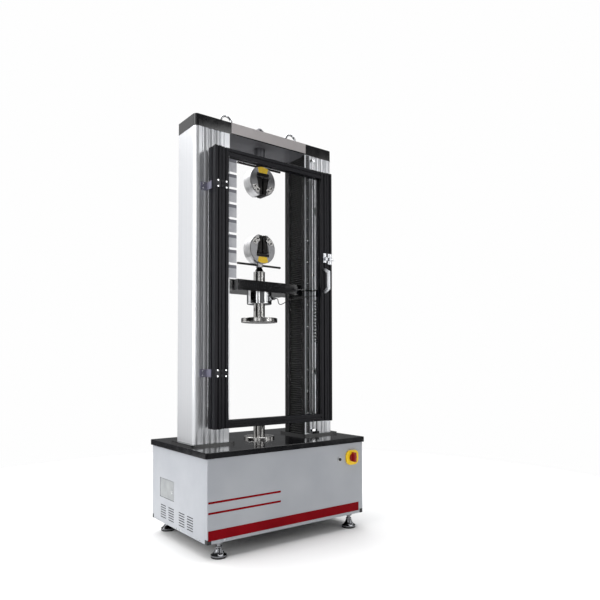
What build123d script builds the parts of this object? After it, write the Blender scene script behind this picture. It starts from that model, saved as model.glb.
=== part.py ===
from build123d import *
import math
import os

os.makedirs("parts", exist_ok=True)

# Universal testing machine, door-guarded, floor standing.
# Millimetres; the origin is the floor point on the load axis, +Z up, front towards -Y.

# Levelling feet
FOOT_HEIGHT = 77
FOOT_INSET_X = 79
FOOT_INSET_Y = 32
FOOT_R = 38
PAD_HEIGHT = 8
STUD_R = 10
NUT_FLATS = 30
NUT_HEIGHT = 12

# Cabinet and base plate
CABINET_WIDTH = 988
CABINET_DEPTH = 630
CABINET_HEIGHT = 397
SHEET = 2
RETURN = 22
KICK_HEIGHT = 22
CORNER_R = 5
FRAME_TUBE = 40
FRAME_WALL = 4
FRAME_GAP = 4
SLIT_GROUPS = (-140, -48, 74, 170)
SLIT_ROWS = 6
SLIT_PITCH = 12.5
SLIT_HEIGHT = 5
SLIT_LENGTH = 64
SLIT_RISE = 27
HATCH_Y = 127
HATCH_WIDTH = 172
HATCH_RISE = 133
HATCH_HEIGHT = 101
HATCH_SEAM = 3
CAP_WALL = 4
PLATE_MARGIN_X = 11
PLATE_MARGIN_Y = 7
PLATE_THICK = 28
SCREW_HOLE_R = 24

# Columns and top beam
CLEAR_WIDTH = 500
COLUMN_WIDTH = 204
COLUMN_DEPTH = 192
COLUMN_HEIGHT = 1623
COLUMN_WALL = 8
COLUMN_CORNER = 22
COLUMN_REAR_CORNER = 8
LIP = 26
FLANGE_THICK = 12
FLANGE_MARGIN = 22
BEAM_THICK = 63
BEAM_MARGIN = 1
NAME_PLATE_THICK = 2
NAME_PLATE_LEFT = 9
NAME_PLATE_RIGHT = 7
NAME_PLATE_RISE = 6
EYE_X = 218
EYE_R = 33
EYE_BAR_R = 7
EYE_COLLAR_R = 20
FLUTE_PITCH = 33
FLUTE_COUNT = 3
FLUTE_DEPTH = 4
FLUTE_FIRST = 70
GROOVE_INSET = 35
GROOVE_WIDTH = 3

# Drive
SCREW_INSET = 70
SCREW_R = 20
JOURNAL_R = 15
ROD_INSET = 145
ROD_Y = 50
ROD_R = 20
RUNNING = 0.05
PULLEY_R = 60
MOTOR_PULLEY_R = 30
SCREW_END_GAP = 10
BEARING_R = 30
BEARING_HEIGHT = 30
BEARING_CAP_R = 45
BEARING_CAP_HEIGHT = 36
BEARING_FIT = 0.2
NUT_R = 27
NUT_FLANGE_R = 36
NUT_FLANGE_THICK = 12
NUT_STANDOUT = 14
BUSH_R = 27
BUSH_FLANGE_R = 30
BUSH_FLANGE_THICK = 7
BUSH_STANDOUT = 8
SEAT_FIT = 0.5
BELT_DROP = 70
MOTOR_INSET = 145
MOTOR_WIDTH = 130
MOTOR_LENGTH = 188
MOTOR_SHAFT_R = 12
MOTOR_DROP = 36
MOTOR_FLANGE_THICK = 12
MOTOR_MARGIN = 30
MOTOR_PLATE_THICK = 10
PILLAR_R = 9
SERVO_X = -250
SERVO_WIDTH = 160
SERVO_DEPTH = 120
SERVO_HEIGHT = 240
SERVO_RISE = 73
FIN_PITCH = 18
FIN_THICK = 6
FIN_DEPTH = 14
BELT_WIDTH = 28
BELT_THICK = 3

# Crosshead, at the height that the photograph shows
CROSSHEAD_BOTTOM = 1312
CROSSHEAD_THICK = 58
CROSSHEAD_HALF = 200
CROSSHEAD_HALF_DEPTH = 93
NECK_HALF_DEPTH = 64
CARRIAGE_HALF_DEPTH = 82

# Compression side
CELL_R = 70
CELL_HEIGHT = 60
CELL_GROOVE_RISE = 10
CELL_GROOVE_DEPTH = 2
PLUG_AZIMUTH = -55
PLUG_HALF = 13
PLUG_R = 9
PLUG_LENGTH = 19
NOSE_R = 5
NOSE_LENGTH = 9
STEM_R = 32
PLATEN_STEM_LENGTH = 79
PLATEN_R = 102
PLATEN_THICK = 24
ADAPTER_FLANGE_R = 86
ADAPTER_FLANGE_THICK = 12
ADAPTER_R = 32
ADAPTER_HEIGHT = 100
ADAPTER_BOLT_CIRCLE = 60
ADAPTER_BOLT_R = 7
CROSS_PIN_R = 9
CROSS_PIN_OFFSET = 32
PIN_RECESS = 6

# Wedge grips
UPPER_GRIP_DROP = 191
LOWER_GRIP_RISE = 192
GRIP_R = 84
GRIP_HALF_THICK = 37
GRIP_FLAT = 75
MOUTH_HALF = 22
WINDOW_HALF = 42
WINDOW_TOP = 29
JAW_GAP = 10
JAW_BOTTOM = -77
JAW_TOP = 20
JAW_CLEARANCE = 0.35
SPINDLE_R = 12
HUB_R = 19
HUB_HEIGHT = 26
CONE_R = 26
CONE_HEIGHT = 24
BAR_R = 6
BAR_REACH = 145
DRAW_NUT_FLATS = 46
DRAW_NUT_HEIGHT = 60

# Guard
GUARD_FRONT = 183
GUARD_RISE = 76
GUARD_DROP = 113
DOOR_INSET = 2
POST_WIDTH = 37
POST_DEPTH = 70
STILE = 40
POST_CLEARANCE = 12
DOOR_GAP = 2
PANEL_THICK = 6
PANEL_GROOVE = 10
GLAZING = 0.3
SLOT_WIDTH = 8
SLOT_DEPTH = 5
BRACKET_HEIGHT = 40
BRACKET_THICK = 4
HINGE_HEIGHT = 36
HINGE_LEAF = 36
LEAF_THICK = 3
KNUCKLE_R = 5
PIN_R = 2.5
LOWER_FITTING_RISE = 280
UPPER_FITTING_DROP = 196
HANDLE_RISE = 803
HANDLE_FEET = 128
HANDLE_GRIP = 92
HANDLE_REACH = 42
HANDLE_WIDTH = 14
HANDLE_BAR = 12
BOLT_RISE = 928
BOLT_R = 4
BOLT_THROW = 18

# Front controls
SWITCH_INSET = 84
SWITCH_DROP = 80
SWITCH_WIDTH = 88
SWITCH_HEIGHT = 80
SWITCH_THICK = 10
KNOB_R = 23
KNOB_LENGTH = 24
START_SPACING = 89
START_LOWER = 4
START_R = 9

# Limit rod, stops and the load-cell lead
LIMIT_INSET = 48
LIMIT_STANDOFF = 16
LIMIT_ROD_R = 4
STOP_R = 9
STOP_HEIGHT = 14
UPPER_STOP_Z = 1430
LOWER_STOP_Z = 873
STRIKER_Z = 1336
STRIKER_THICK = 6
LEAD_R = 2.25
COIL_SPACING = 22
COIL_STANDOFF = 19
COIL_R = 13
COIL_TOP = 1294
COIL_BOTTOM = 1036
GLAND_HEIGHT = 26

# Heights worked out from the sizes above
CABINET_BOTTOM = FOOT_HEIGHT
PLATE_BOTTOM = CABINET_BOTTOM + CABINET_HEIGHT
PLATE_TOP = PLATE_BOTTOM + PLATE_THICK
COLUMN_BOTTOM = PLATE_TOP + FLANGE_THICK
COLUMN_TOP = COLUMN_BOTTOM + COLUMN_HEIGHT
BEAM_TOP = COLUMN_TOP + BEAM_THICK
CROSSHEAD_TOP = CROSSHEAD_BOTTOM + CROSSHEAD_THICK
UPPER_GRIP_Z = COLUMN_TOP - UPPER_GRIP_DROP
LOWER_GRIP_Z = CROSSHEAD_TOP + LOWER_GRIP_RISE
GUARD_BOTTOM = COLUMN_BOTTOM + GUARD_RISE
GUARD_TOP = COLUMN_TOP - GUARD_DROP
LOWER_FITTING_Z = GUARD_BOTTOM + LOWER_FITTING_RISE
UPPER_FITTING_Z = GUARD_TOP - UPPER_FITTING_DROP
HANDLE_Z = GUARD_BOTTOM + HANDLE_RISE
BOLT_Z = GUARD_BOTTOM + BOLT_RISE
COLUMN_INNER = CLEAR_WIDTH / 2
COLUMN_OUTER = COLUMN_INNER + COLUMN_WIDTH
SCREW_X = COLUMN_INNER + SCREW_INSET
ROD_X = COLUMN_INNER + ROD_INSET
CABINET_FRONT = -CABINET_DEPTH / 2
MOTOR_Y = CABINET_DEPTH / 2 - MOTOR_INSET
COLUMN_FRONT = -COLUMN_DEPTH / 2
FOOT_X = CABINET_WIDTH / 2 - FOOT_INSET_X
FOOT_Y = CABINET_DEPTH / 2 - FOOT_INSET_Y
SWITCH_X = CABINET_WIDTH / 2 - SWITCH_INSET
SWITCH_Z = PLATE_BOTTOM - SWITCH_DROP
START_X = SWITCH_X - START_SPACING
START_Z = SWITCH_Z - START_LOWER
LIMIT_ROD_X = COLUMN_INNER + LIMIT_INSET
LIMIT_ROD_Y = COLUMN_FRONT - LIMIT_STANDOFF
COIL_X = LIMIT_ROD_X + COIL_SPACING
COIL_Y = COLUMN_FRONT - COIL_STANDOFF
DOOR_HALF = COIL_X + COIL_R + POST_CLEARANCE


def block(x0, x1, y0, y1, z0, z1):
    """A box between two corners."""
    centre = Pos((x0 + x1) / 2, (y0 + y1) / 2, (z0 + z1) / 2)
    return centre * Box(x1 - x0, y1 - y0, z1 - z0)


def upright(radius, z0, z1, x=0, y=0):
    """A cylinder that stands between two heights."""
    return Pos(x, y, (z0 + z1) / 2) * Cylinder(radius, z1 - z0)


def ring(outer, inner, z0, z1, x=0, y=0):
    """A tube that stands between two heights."""
    return upright(outer, z0, z1, x, y) - upright(inner, z0 - 1, z1 + 1, x, y)


def turned(*points):
    """A body of revolution about Z from (radius, height) points."""
    return revolve(Plane.XZ * make_face(Polyline(*points, close=True)), Axis.Z)


def raised(section, z0, z1):
    """A plan section extruded between two heights."""
    return extrude(Pos(0, 0, z0) * section, z1 - z0)


def mirrored(shape):
    """The same piece on the other side of the load axis."""
    return mirror(shape, about=Plane.YZ)


def corners(x, y):
    """Four points that lie symmetrically about the load axis."""
    return [(sx * x, sy * y) for sx in (-1, 1) for sy in (-1, 1)]


def save(node, *shapes):
    """Write one node, in which several shapes stay separate solids."""
    solids = [solid for shape in shapes for solid in shape.solids()]
    whole = solids[0] if len(solids) == 1 else Compound(children=solids)
    export_step(whole, f"parts/{node}.step")


# Levelling feet: rubber pad, spun bell with its stud, and two nuts that lock the frame
def foot_bell():
    neck_z = FOOT_HEIGHT - 2 * NUT_HEIGHT
    stud_top = FOOT_HEIGHT + FRAME_WALL + 2 * NUT_HEIGHT
    skirt = PAD_HEIGHT + 6
    neck_r = STUD_R + 5
    curve = ThreePointArc((FOOT_R, skirt), (neck_r + 7, skirt + 15), (neck_r, neck_z - 4))
    rest = Polyline(
        (neck_r, neck_z - 4), (neck_r, neck_z), (STUD_R, neck_z), (STUD_R, stud_top),
        (0, stud_top), (0, PAD_HEIGHT), (FOOT_R, PAD_HEIGHT), (FOOT_R, skirt),
    )
    return revolve(Plane.XZ * make_face(curve + rest), Axis.Z)


def foot_nut(z0):
    hexagon = RegularPolygon(NUT_FLATS / 2, 6, major_radius=False) - Circle(STUD_R)
    return raised(hexagon, z0, z0 + NUT_HEIGHT)


def build_feet():
    bell = foot_bell()
    nuts = [foot_nut(CABINET_BOTTOM - NUT_HEIGHT), foot_nut(CABINET_BOTTOM + FRAME_WALL)]
    places = [Pos(x, y, 0) for x, y in corners(FOOT_X, FOOT_Y)]
    save("levelling_feet", *[place * piece for place in places for piece in [bell, *nuts]])
    pad = turned((0, 0), (FOOT_R - 2, 0), (FOOT_R, 3), (FOOT_R, PAD_HEIGHT), (0, PAD_HEIGHT))
    save("foot_pads", *[place * pad for place in places])


# Welded frame of channels inside the cabinet, with the motor plate hung from the top ring
def channel_ring(z0):
    width = CABINET_WIDTH - 2 * (SHEET + FRAME_GAP)
    depth = CABINET_DEPTH - 2 * (SHEET + FRAME_GAP)
    tube, wall = FRAME_TUBE, FRAME_WALL
    outer = Pos(0, 0, z0 + tube / 2) * Box(width, depth, tube)
    hole = Pos(0, 0, z0 + tube / 2) * Box(width - 2 * tube, depth - 2 * tube, tube + 2)
    pocket = Pos(0, 0, z0 + tube / 2) * Box(width - 2 * wall, depth - 2 * wall, tube - 2 * wall)
    return outer - hole - pocket


def build_frame():
    low = CABINET_BOTTOM
    high = PLATE_BOTTOM - FRAME_TUBE
    frame = channel_ring(low) + channel_ring(high)
    half_w = CABINET_WIDTH / 2 - SHEET - FRAME_GAP
    half_d = CABINET_DEPTH / 2 - SHEET - FRAME_GAP
    for sx, sy in corners(1, 1):
        angle = Box(FRAME_TUBE, FRAME_TUBE, high - low) - Pos(
            -sx * FRAME_WALL, -sy * FRAME_WALL, 0
        ) * Box(FRAME_TUBE, FRAME_TUBE, high - low + 2)
        place = Pos(
            sx * (half_w - FRAME_TUBE / 2),
            sy * (half_d - FRAME_TUBE / 2),
            (low + high + FRAME_TUBE) / 2,
        )
        frame += place * angle
    for x, y in corners(FOOT_X, FOOT_Y):
        frame -= upright(STUD_R + 0.2, low - 1, low + FRAME_WALL + 1, x, y)
    save("base_frame", frame)


# Sheet-metal cabinet: front and rear wrap round the corners, the sides slide in between
def wrap_section():
    width, depth = CABINET_WIDTH, RETURN
    outer = Pos(0, CABINET_FRONT + depth / 2) * Rectangle(width, depth)
    outer = fillet(outer.vertices().group_by(Axis.Y)[0], CORNER_R)
    inner = Pos(0, CABINET_FRONT + depth / 2 + SHEET) * Rectangle(width - 2 * SHEET, depth)
    return outer - inner


def build_cabinet():
    low, high = CABINET_BOTTOM, PLATE_BOTTOM
    inner = CABINET_FRONT + SHEET
    skirt = raised(wrap_section(), low + KICK_HEIGHT, high)
    kick_half = CABINET_WIDTH / 2 - RETURN
    kick = block(-kick_half, kick_half, inner, inner + SHEET, low, low + KICK_HEIGHT + 10)
    front = skirt + kick
    start = Pos(START_X, CABINET_FRONT, START_Z) * Rot(90, 0, 0) * Cylinder(START_R + 1, 20)
    knob = Pos(SWITCH_X, CABINET_FRONT, SWITCH_Z) * Rot(90, 0, 0) * Cylinder(9, 20)
    save("cabinet_front", front - start - knob)
    save("cabinet_rear", mirror(front, about=Plane.XZ))

    half = CABINET_DEPTH / 2 - RETURN - 0.5
    wall = -CABINET_WIDTH / 2
    side = block(wall, wall + SHEET, -half, half, low, high)
    for group in SLIT_GROUPS:
        y0, y1 = group - SLIT_LENGTH / 2, group + SLIT_LENGTH / 2
        for row in range(SLIT_ROWS):
            z = low + SLIT_RISE + row * SLIT_PITCH
            side -= block(wall - 1, wall + SHEET + 1, y0, y1, z, z + SLIT_HEIGHT)
    plain_side = mirrored(side)
    y0, y1 = HATCH_Y - HATCH_WIDTH / 2, HATCH_Y + HATCH_WIDTH / 2
    z0, z1 = low + HATCH_RISE, low + HATCH_RISE + HATCH_HEIGHT
    seam = HATCH_SEAM
    side -= block(wall - 1, wall + SHEET + 1, y0, y1, z0, z1)
    side += block(wall + SHEET, wall + 2 * SHEET, y0 - seam, y1 + seam, z0 - seam, z1 + seam)
    save("cabinet_sides", side, plain_side)

    cap = Rectangle(RETURN, RETURN)
    cap = fillet(cap.vertices().group_by(Axis.X)[-1].group_by(Axis.Y)[-1], CORNER_R)
    cap -= Pos(-CAP_WALL, -CAP_WALL) * Rectangle(RETURN, RETURN)
    cap = Pos(CABINET_WIDTH / 2 - RETURN / 2, CABINET_DEPTH / 2 - RETURN / 2) * cap
    cap = raised(cap, low, low + KICK_HEIGHT)
    pair = [cap, mirrored(cap)]
    save("corner_caps", *pair, *[mirror(piece, about=Plane.XZ) for piece in pair])


def build_base_plate():
    width = CABINET_WIDTH + 2 * PLATE_MARGIN_X
    depth = CABINET_DEPTH + 2 * PLATE_MARGIN_Y
    plate = Pos(0, 0, PLATE_BOTTOM + PLATE_THICK / 2) * Box(width, depth, PLATE_THICK)
    plate = fillet(plate.edges().filter_by(Axis.Z), 10)
    plate = chamfer(plate.faces().sort_by(Axis.Z)[-1].edges(), 2)
    for side in (-1, 1):
        plate -= upright(SCREW_HOLE_R, PLATE_BOTTOM - 1, PLATE_TOP + 1, side * SCREW_X)
    save("base_plate", plate)


# Fluted column extrusion, open towards the load axis where the crosshead enters
def outer_corner(section, end):
    """The section's outermost corner in X, at the front for 0 and at the rear for -1."""
    return section.vertices().group_by(Axis.X)[-1].sort_by(Axis.Y)[end]


def column_section():
    middle = COLUMN_INNER + COLUMN_WIDTH / 2
    outer = Pos(middle, 0) * Rectangle(COLUMN_WIDTH, COLUMN_DEPTH)
    outer = fillet(outer_corner(outer, 0), COLUMN_CORNER)
    outer = fillet(outer_corner(outer, -1), COLUMN_REAR_CORNER)
    hollow = Pos(middle, 0) * Rectangle(COLUMN_WIDTH - 2 * COLUMN_WALL, COLUMN_DEPTH - 2 * COLUMN_WALL)
    hollow = fillet(outer_corner(hollow, 0), COLUMN_CORNER - COLUMN_WALL)
    mouth = Pos(COLUMN_INNER, 0) * Rectangle(4 * COLUMN_WALL, COLUMN_DEPTH - 2 * LIP)
    section = outer - hollow - mouth
    first = COLUMN_INNER + FLUTE_FIRST
    zone = FLUTE_COUNT * FLUTE_PITCH + 2
    zone_x = first + (FLUTE_COUNT - 1) * FLUTE_PITCH / 2
    chord = FLUTE_PITCH - 2
    radius = (chord**2 / 4 + FLUTE_DEPTH**2) / (2 * FLUTE_DEPTH)
    for face in (-1, 1):
        y = face * COLUMN_DEPTH / 2
        section -= Pos(zone_x, y) * Rectangle(zone, 2 * FLUTE_DEPTH)
        for flute in range(FLUTE_COUNT):
            x = first + flute * FLUTE_PITCH
            strip = Pos(x, y - face * FLUTE_DEPTH / 2) * Rectangle(chord, FLUTE_DEPTH)
            section += strip & (Pos(x, y - face * radius) * Circle(radius))
        for inset in (GROOVE_INSET, COLUMN_WIDTH - GROOVE_INSET - 7):
            section -= Pos(COLUMN_INNER + inset, y) * Rectangle(GROOVE_WIDTH, 2 * FLUTE_DEPTH)
    return section


def build_columns():
    right = raised(column_section(), COLUMN_BOTTOM, COLUMN_TOP)
    save("column_covers", mirrored(right), right)

    foot = block(
        COLUMN_INNER - FLANGE_MARGIN, COLUMN_OUTER + FLANGE_MARGIN,
        COLUMN_FRONT - FLANGE_MARGIN, -COLUMN_FRONT + FLANGE_MARGIN,
        PLATE_TOP, COLUMN_BOTTOM,
    )
    foot = fillet(foot.edges().filter_by(Axis.Z), 8)
    foot -= upright(SCREW_R + 4, PLATE_TOP - 1, COLUMN_BOTTOM + 1, SCREW_X)
    for sy in (-1, 1):
        foot -= upright(ROD_R + 0.3, PLATE_TOP - 1, COLUMN_BOTTOM + 1, ROD_X, sy * ROD_Y)
    save("column_flanges", mirrored(foot), foot)

    rods = [upright(ROD_R, PLATE_TOP, COLUMN_TOP, x, y) for x, y in corners(ROD_X, ROD_Y)]
    save("guide_rods", *rods)


def build_beam():
    margin = BEAM_MARGIN
    beam = Rectangle(2 * (COLUMN_OUTER + margin), COLUMN_DEPTH + 2 * margin)
    beam = fillet(beam.vertices().group_by(Axis.Y)[0], COLUMN_CORNER)
    beam = fillet(beam.vertices().group_by(Axis.Y)[-1], COLUMN_REAR_CORNER)
    beam = raised(beam, COLUMN_TOP, BEAM_TOP)
    beam = chamfer(beam.faces().sort_by(Axis.Z)[-1].edges(), 1.5)
    for side in (-1, 1):
        beam -= upright(BEARING_R, COLUMN_TOP - 1, COLUMN_TOP + BEARING_HEIGHT, side * SCREW_X)
    save("top_beam", beam)

    face = COLUMN_FRONT - margin
    x0, x1 = NAME_PLATE_LEFT - COLUMN_INNER, COLUMN_INNER + NAME_PLATE_RIGHT
    y0, z0, z1 = face - NAME_PLATE_THICK, COLUMN_TOP + NAME_PLATE_RISE, BEAM_TOP - 1.5
    save("name_plate", block(x0, x1, y0, face, z0, z1))

    rim_z, neck_z = BEAM_TOP + 6, BEAM_TOP + EYE_BAR_R + 9
    hoop = Pos(0, 0, BEAM_TOP + EYE_R + 9) * Rot(90, 0, 0) * Torus(EYE_R, EYE_BAR_R)
    collar = turned(
        (0, BEAM_TOP), (EYE_COLLAR_R, BEAM_TOP), (EYE_COLLAR_R, rim_z), (EYE_BAR_R + 4, neck_z), (0, neck_z),
    )
    save("lifting_eyes", *[Pos(x, 0, 0) * (hoop + collar) for x in (-EYE_X, EYE_X)])

    journal = JOURNAL_R + RUNNING
    upper = ring(BEARING_R, journal, COLUMN_TOP, COLUMN_TOP + BEARING_HEIGHT)
    lower = ring(SCREW_HOLE_R - BEARING_FIT, journal, PLATE_BOTTOM, PLATE_TOP - 2)
    lower += ring(BEARING_CAP_R, journal, PLATE_BOTTOM - BEARING_CAP_HEIGHT, PLATE_BOTTOM)
    pieces = [Pos(side * SCREW_X, 0, 0) * piece for side in (-1, 1) for piece in (upper, lower)]
    save("screw_bearings", *pieces)


# Ball screws, pulleys, belt and motor
def pulley(radius, bore, z0):
    rim = radius + 5
    top = z0 + BELT_WIDTH + 2
    wheel = upright(rim, z0 - 3, z0) + upright(radius, z0, top) + upright(rim, top, top + 3)
    return wheel - upright(bore, z0 - 4, top + 4)


def build_drive():
    belt_z = PLATE_BOTTOM - BELT_DROP
    shoulder, thread_end = PLATE_TOP + 2, COLUMN_TOP - SCREW_END_GAP
    screw = upright(SCREW_R, shoulder, thread_end)
    screw += upright(JOURNAL_R, belt_z - 8, shoulder)
    screw += upright(JOURNAL_R, thread_end, COLUMN_TOP + BEARING_HEIGHT - 2)
    wheel = pulley(PULLEY_R, JOURNAL_R, belt_z)
    for name, side in (("left", -1), ("right", 1)):
        save(f"{name}_ball_screw", *[Pos(side * SCREW_X, 0, 0) * piece for piece in (screw, wheel)])

    motor_top = belt_z - MOTOR_DROP
    shaft_z = motor_top - MOTOR_FLANGE_THICK / 2
    drive_wheel = pulley(MOTOR_PULLEY_R, 5, belt_z) + upright(MOTOR_SHAFT_R, shaft_z, belt_z)
    save("motor_pulley", Pos(0, MOTOR_Y, 0) * drive_wheel)

    centres = [(-SCREW_X, 0, PULLEY_R), (SCREW_X, 0, PULLEY_R), (0, MOTOR_Y, MOTOR_PULLEY_R)]
    outside = [Pos(x, y) * Circle(r + BELT_THICK) for x, y, r in centres]
    inside = [Pos(x, y) * Circle(r + 0.3) for x, y, r in centres]
    loop = make_hull([edge for disc in outside for edge in disc.edges()])
    loop -= make_hull([edge for disc in inside for edge in disc.edges()])
    save("drive_belt", raised(loop, belt_z + 1, belt_z + 1 + BELT_WIDTH))

    motor = Pos(0, 0, shaft_z) * Box(MOTOR_WIDTH, MOTOR_WIDTH, MOTOR_FLANGE_THICK)
    case = Rectangle(MOTOR_WIDTH - 8, MOTOR_WIDTH - 8)
    case = fillet(case.vertices(), 24)
    motor += raised(case, motor_top - MOTOR_LENGTH, shaft_z)
    motor -= upright(MOTOR_SHAFT_R + RUNNING, shaft_z, motor_top + 1)
    wide, plate_top = MOTOR_WIDTH + 2 * MOTOR_MARGIN, motor_top + MOTOR_PLATE_THICK
    mount = Pos(0, 0, motor_top + MOTOR_PLATE_THICK / 2) * Box(wide, wide, MOTOR_PLATE_THICK)
    mount -= upright(MOTOR_SHAFT_R + 4, motor_top - 1, plate_top + 1)
    inset = wide / 2 - PILLAR_R - 3
    pillars = [upright(PILLAR_R, plate_top, PLATE_BOTTOM, x, y) for x, y in corners(inset, inset)]
    save("drive_motor", *[Pos(0, MOTOR_Y, 0) * piece for piece in (motor, mount, *pillars)])

    inside_rear = CABINET_DEPTH / 2 - SHEET
    face = inside_rear - SERVO_DEPTH
    x0, x1 = SERVO_X - SERVO_WIDTH / 2, SERVO_X + SERVO_WIDTH / 2
    z0, z1 = CABINET_BOTTOM + SERVO_RISE, CABINET_BOTTOM + SERVO_RISE + SERVO_HEIGHT
    drive = block(x0, x1, face, inside_rear, z0, z1)
    for rib in range(int((SERVO_WIDTH - FIN_THICK) / FIN_PITCH) + 1):
        x = x0 + FIN_THICK / 2 + rib * FIN_PITCH
        drive += block(x, x + FIN_THICK, face - FIN_DEPTH, face, z0 + 10, z1 - 10)
    save("servo_drive", drive)


# Crosshead with nuts and bushes
def build_crosshead():
    z0, z1 = CROSSHEAD_BOTTOM, CROSSHEAD_TOP
    carriage_in = COLUMN_INNER + 4 * COLUMN_WALL + 4
    carriage_out = COLUMN_OUTER - COLUMN_WALL - 6
    plan = Rectangle(2 * CROSSHEAD_HALF, 2 * CROSSHEAD_HALF_DEPTH)
    plan = fillet(plan.vertices(), 6)
    plan += Rectangle(2 * carriage_in + 2, 2 * NECK_HALF_DEPTH)
    for side in (-1, 1):
        width = carriage_out - carriage_in
        plan += Pos(side * (carriage_in + width / 2), 0) * Rectangle(width, 2 * CARRIAGE_HALF_DEPTH)
        plan -= Pos(side * SCREW_X, 0) * Circle(NUT_R + SEAT_FIT)
        for sy in (-1, 1):
            plan -= Pos(side * ROD_X, sy * ROD_Y) * Circle(BUSH_R + SEAT_FIT)
    save("crosshead_beam", raised(plan, z0, z1))

    low, high = z0 - NUT_FLANGE_THICK, z1 + NUT_STANDOUT
    nut = upright(NUT_R, z0, high) + upright(NUT_FLANGE_R, low, z0)
    nut -= upright(SCREW_R + RUNNING, low - 1, high + 1)
    save("ball_nuts", *[Pos(side * SCREW_X, 0, 0) * nut for side in (-1, 1)])
    low, high = z0 - BUSH_FLANGE_THICK, z1 + BUSH_STANDOUT
    bush = upright(BUSH_R, z0, high) + upright(BUSH_FLANGE_R, low, z0)
    bush -= upright(ROD_R + RUNNING, low - 1, high + 1)
    save("guide_bushes", *[Pos(x, y, 0) * bush for x, y in corners(ROD_X, ROD_Y)])


# Accordion covers that close the column mouths above and below the crosshead
def bellows(z0, z1):
    near = COLUMN_INNER + COLUMN_WALL + 4
    fold, sheet = 9, 3
    count = round((z1 - z0) / 26)
    step = (z1 - z0) / (2 * count)
    front = [(near + fold * (i % 2), z0 + i * step) for i in range(2 * count + 1)]
    back = [(x + sheet, z) for x, z in reversed(front)]
    half = COLUMN_DEPTH / 2 - LIP - 2
    return extrude(Plane.XZ.offset(half) * make_face(Polyline(*front, *back, close=True)), -2 * half)


def build_bellows():
    low = bellows(COLUMN_BOTTOM, CROSSHEAD_BOTTOM)
    high = bellows(CROSSHEAD_TOP, COLUMN_TOP)
    save("lower_bellows", mirrored(low), low)
    save("upper_bellows", mirrored(high), high)


# Wedge grip in its own frame: centre at the origin, handle side up, mouth down
def window_half(z):
    """Half the width of the wedge window at a height."""
    slope = (WINDOW_HALF - MOUTH_HALF) / (WINDOW_TOP + GRIP_R)
    return MOUTH_HALF + (z + GRIP_R) * slope


def grip_body():
    disc = Rot(90, 0, 0) * Cylinder(GRIP_R, 2 * GRIP_HALF_THICK)
    disc = chamfer(disc.edges().filter_by(GeomType.CIRCLE), 3)
    disc -= block(-GRIP_R, GRIP_R, -GRIP_R, GRIP_R, GRIP_FLAT, GRIP_R + 1)
    low = -GRIP_R - 10
    outline = Polyline(
        (-window_half(low), low), (window_half(low), low),
        (WINDOW_HALF, WINDOW_TOP), (-WINDOW_HALF, WINDOW_TOP), close=True,
    )
    depth = GRIP_HALF_THICK + 5
    return disc - extrude(Plane.XZ.offset(depth) * make_face(outline), -2 * depth)


def grip_jaw():
    gap = JAW_GAP / 2
    low, high = window_half(JAW_BOTTOM), window_half(JAW_TOP)
    outline = Polyline(
        (gap, JAW_BOTTOM), (low - JAW_CLEARANCE, JAW_BOTTOM),
        (high - JAW_CLEARANCE, JAW_TOP), (gap, JAW_TOP), close=True,
    )
    half = GRIP_HALF_THICK - 3
    return extrude(Plane.XZ.offset(half) * make_face(outline), -2 * half)


def grip_handle():
    z0 = GRIP_FLAT + 0.5
    hub = upright(HUB_R, z0, z0 + HUB_HEIGHT)
    hub = chamfer(hub.edges().filter_by(GeomType.CIRCLE), 2)
    bar = Pos(0, 0, z0 + HUB_HEIGHT / 2) * Rot(0, 90, 0) * Cylinder(BAR_R, 2 * BAR_REACH)
    bar = chamfer(bar.edges().filter_by(GeomType.CIRCLE), 1)
    return hub + bar - upright(SPINDLE_R + RUNNING, z0 - 1, z0 + HUB_HEIGHT + 1)


def grip_stem(reach):
    shoulder = GRIP_FLAT + HUB_HEIGHT + 1
    cone_end = shoulder + CONE_HEIGHT
    return turned(
        (0, GRIP_FLAT), (SPINDLE_R, GRIP_FLAT), (SPINDLE_R, shoulder), (SPINDLE_R + 2, shoulder),
        (CONE_R, cone_end), (STEM_R - 2, cone_end), (STEM_R, cone_end + 2), (STEM_R, reach), (0, reach),
    )


def draw_nut():
    """Domed nut on top of the beam that draws the upper stem home."""
    hexagon = RegularPolygon(DRAW_NUT_FLATS / 2, 6, major_radius=False)
    dome_r = DRAW_NUT_FLATS / 2 - 3
    body = raised(hexagon, BEAM_TOP, BEAM_TOP + DRAW_NUT_HEIGHT - dome_r)
    dome = Pos(0, 0, BEAM_TOP + DRAW_NUT_HEIGHT - dome_r) * Sphere(dome_r)
    return body + (dome - upright(DRAW_NUT_FLATS, BEAM_TOP - dome_r, BEAM_TOP + 5))


def build_grips():
    beam_reach = COLUMN_TOP - UPPER_GRIP_Z
    crosshead_reach = LOWER_GRIP_Z - CROSSHEAD_TOP
    grips = (
        ("upper", Pos(0, 0, UPPER_GRIP_Z), beam_reach),
        ("lower", Pos(0, 0, LOWER_GRIP_Z) * Rot(0, 180, 0), crosshead_reach),
    )
    for name, place, reach in grips:
        save(f"{name}_grip_body", place * grip_body())
        save(f"{name}_grip_handle", place * grip_handle())
        right, left = place * grip_jaw(), place * mirrored(grip_jaw())
        if name == "lower":
            right, left = left, right
        save(f"{name}_left_jaw", left)
        save(f"{name}_right_jaw", right)
        fixing = [draw_nut()] if name == "upper" else []
        save(f"{name}_grip_stem", place * grip_stem(reach), *fixing)


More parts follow.
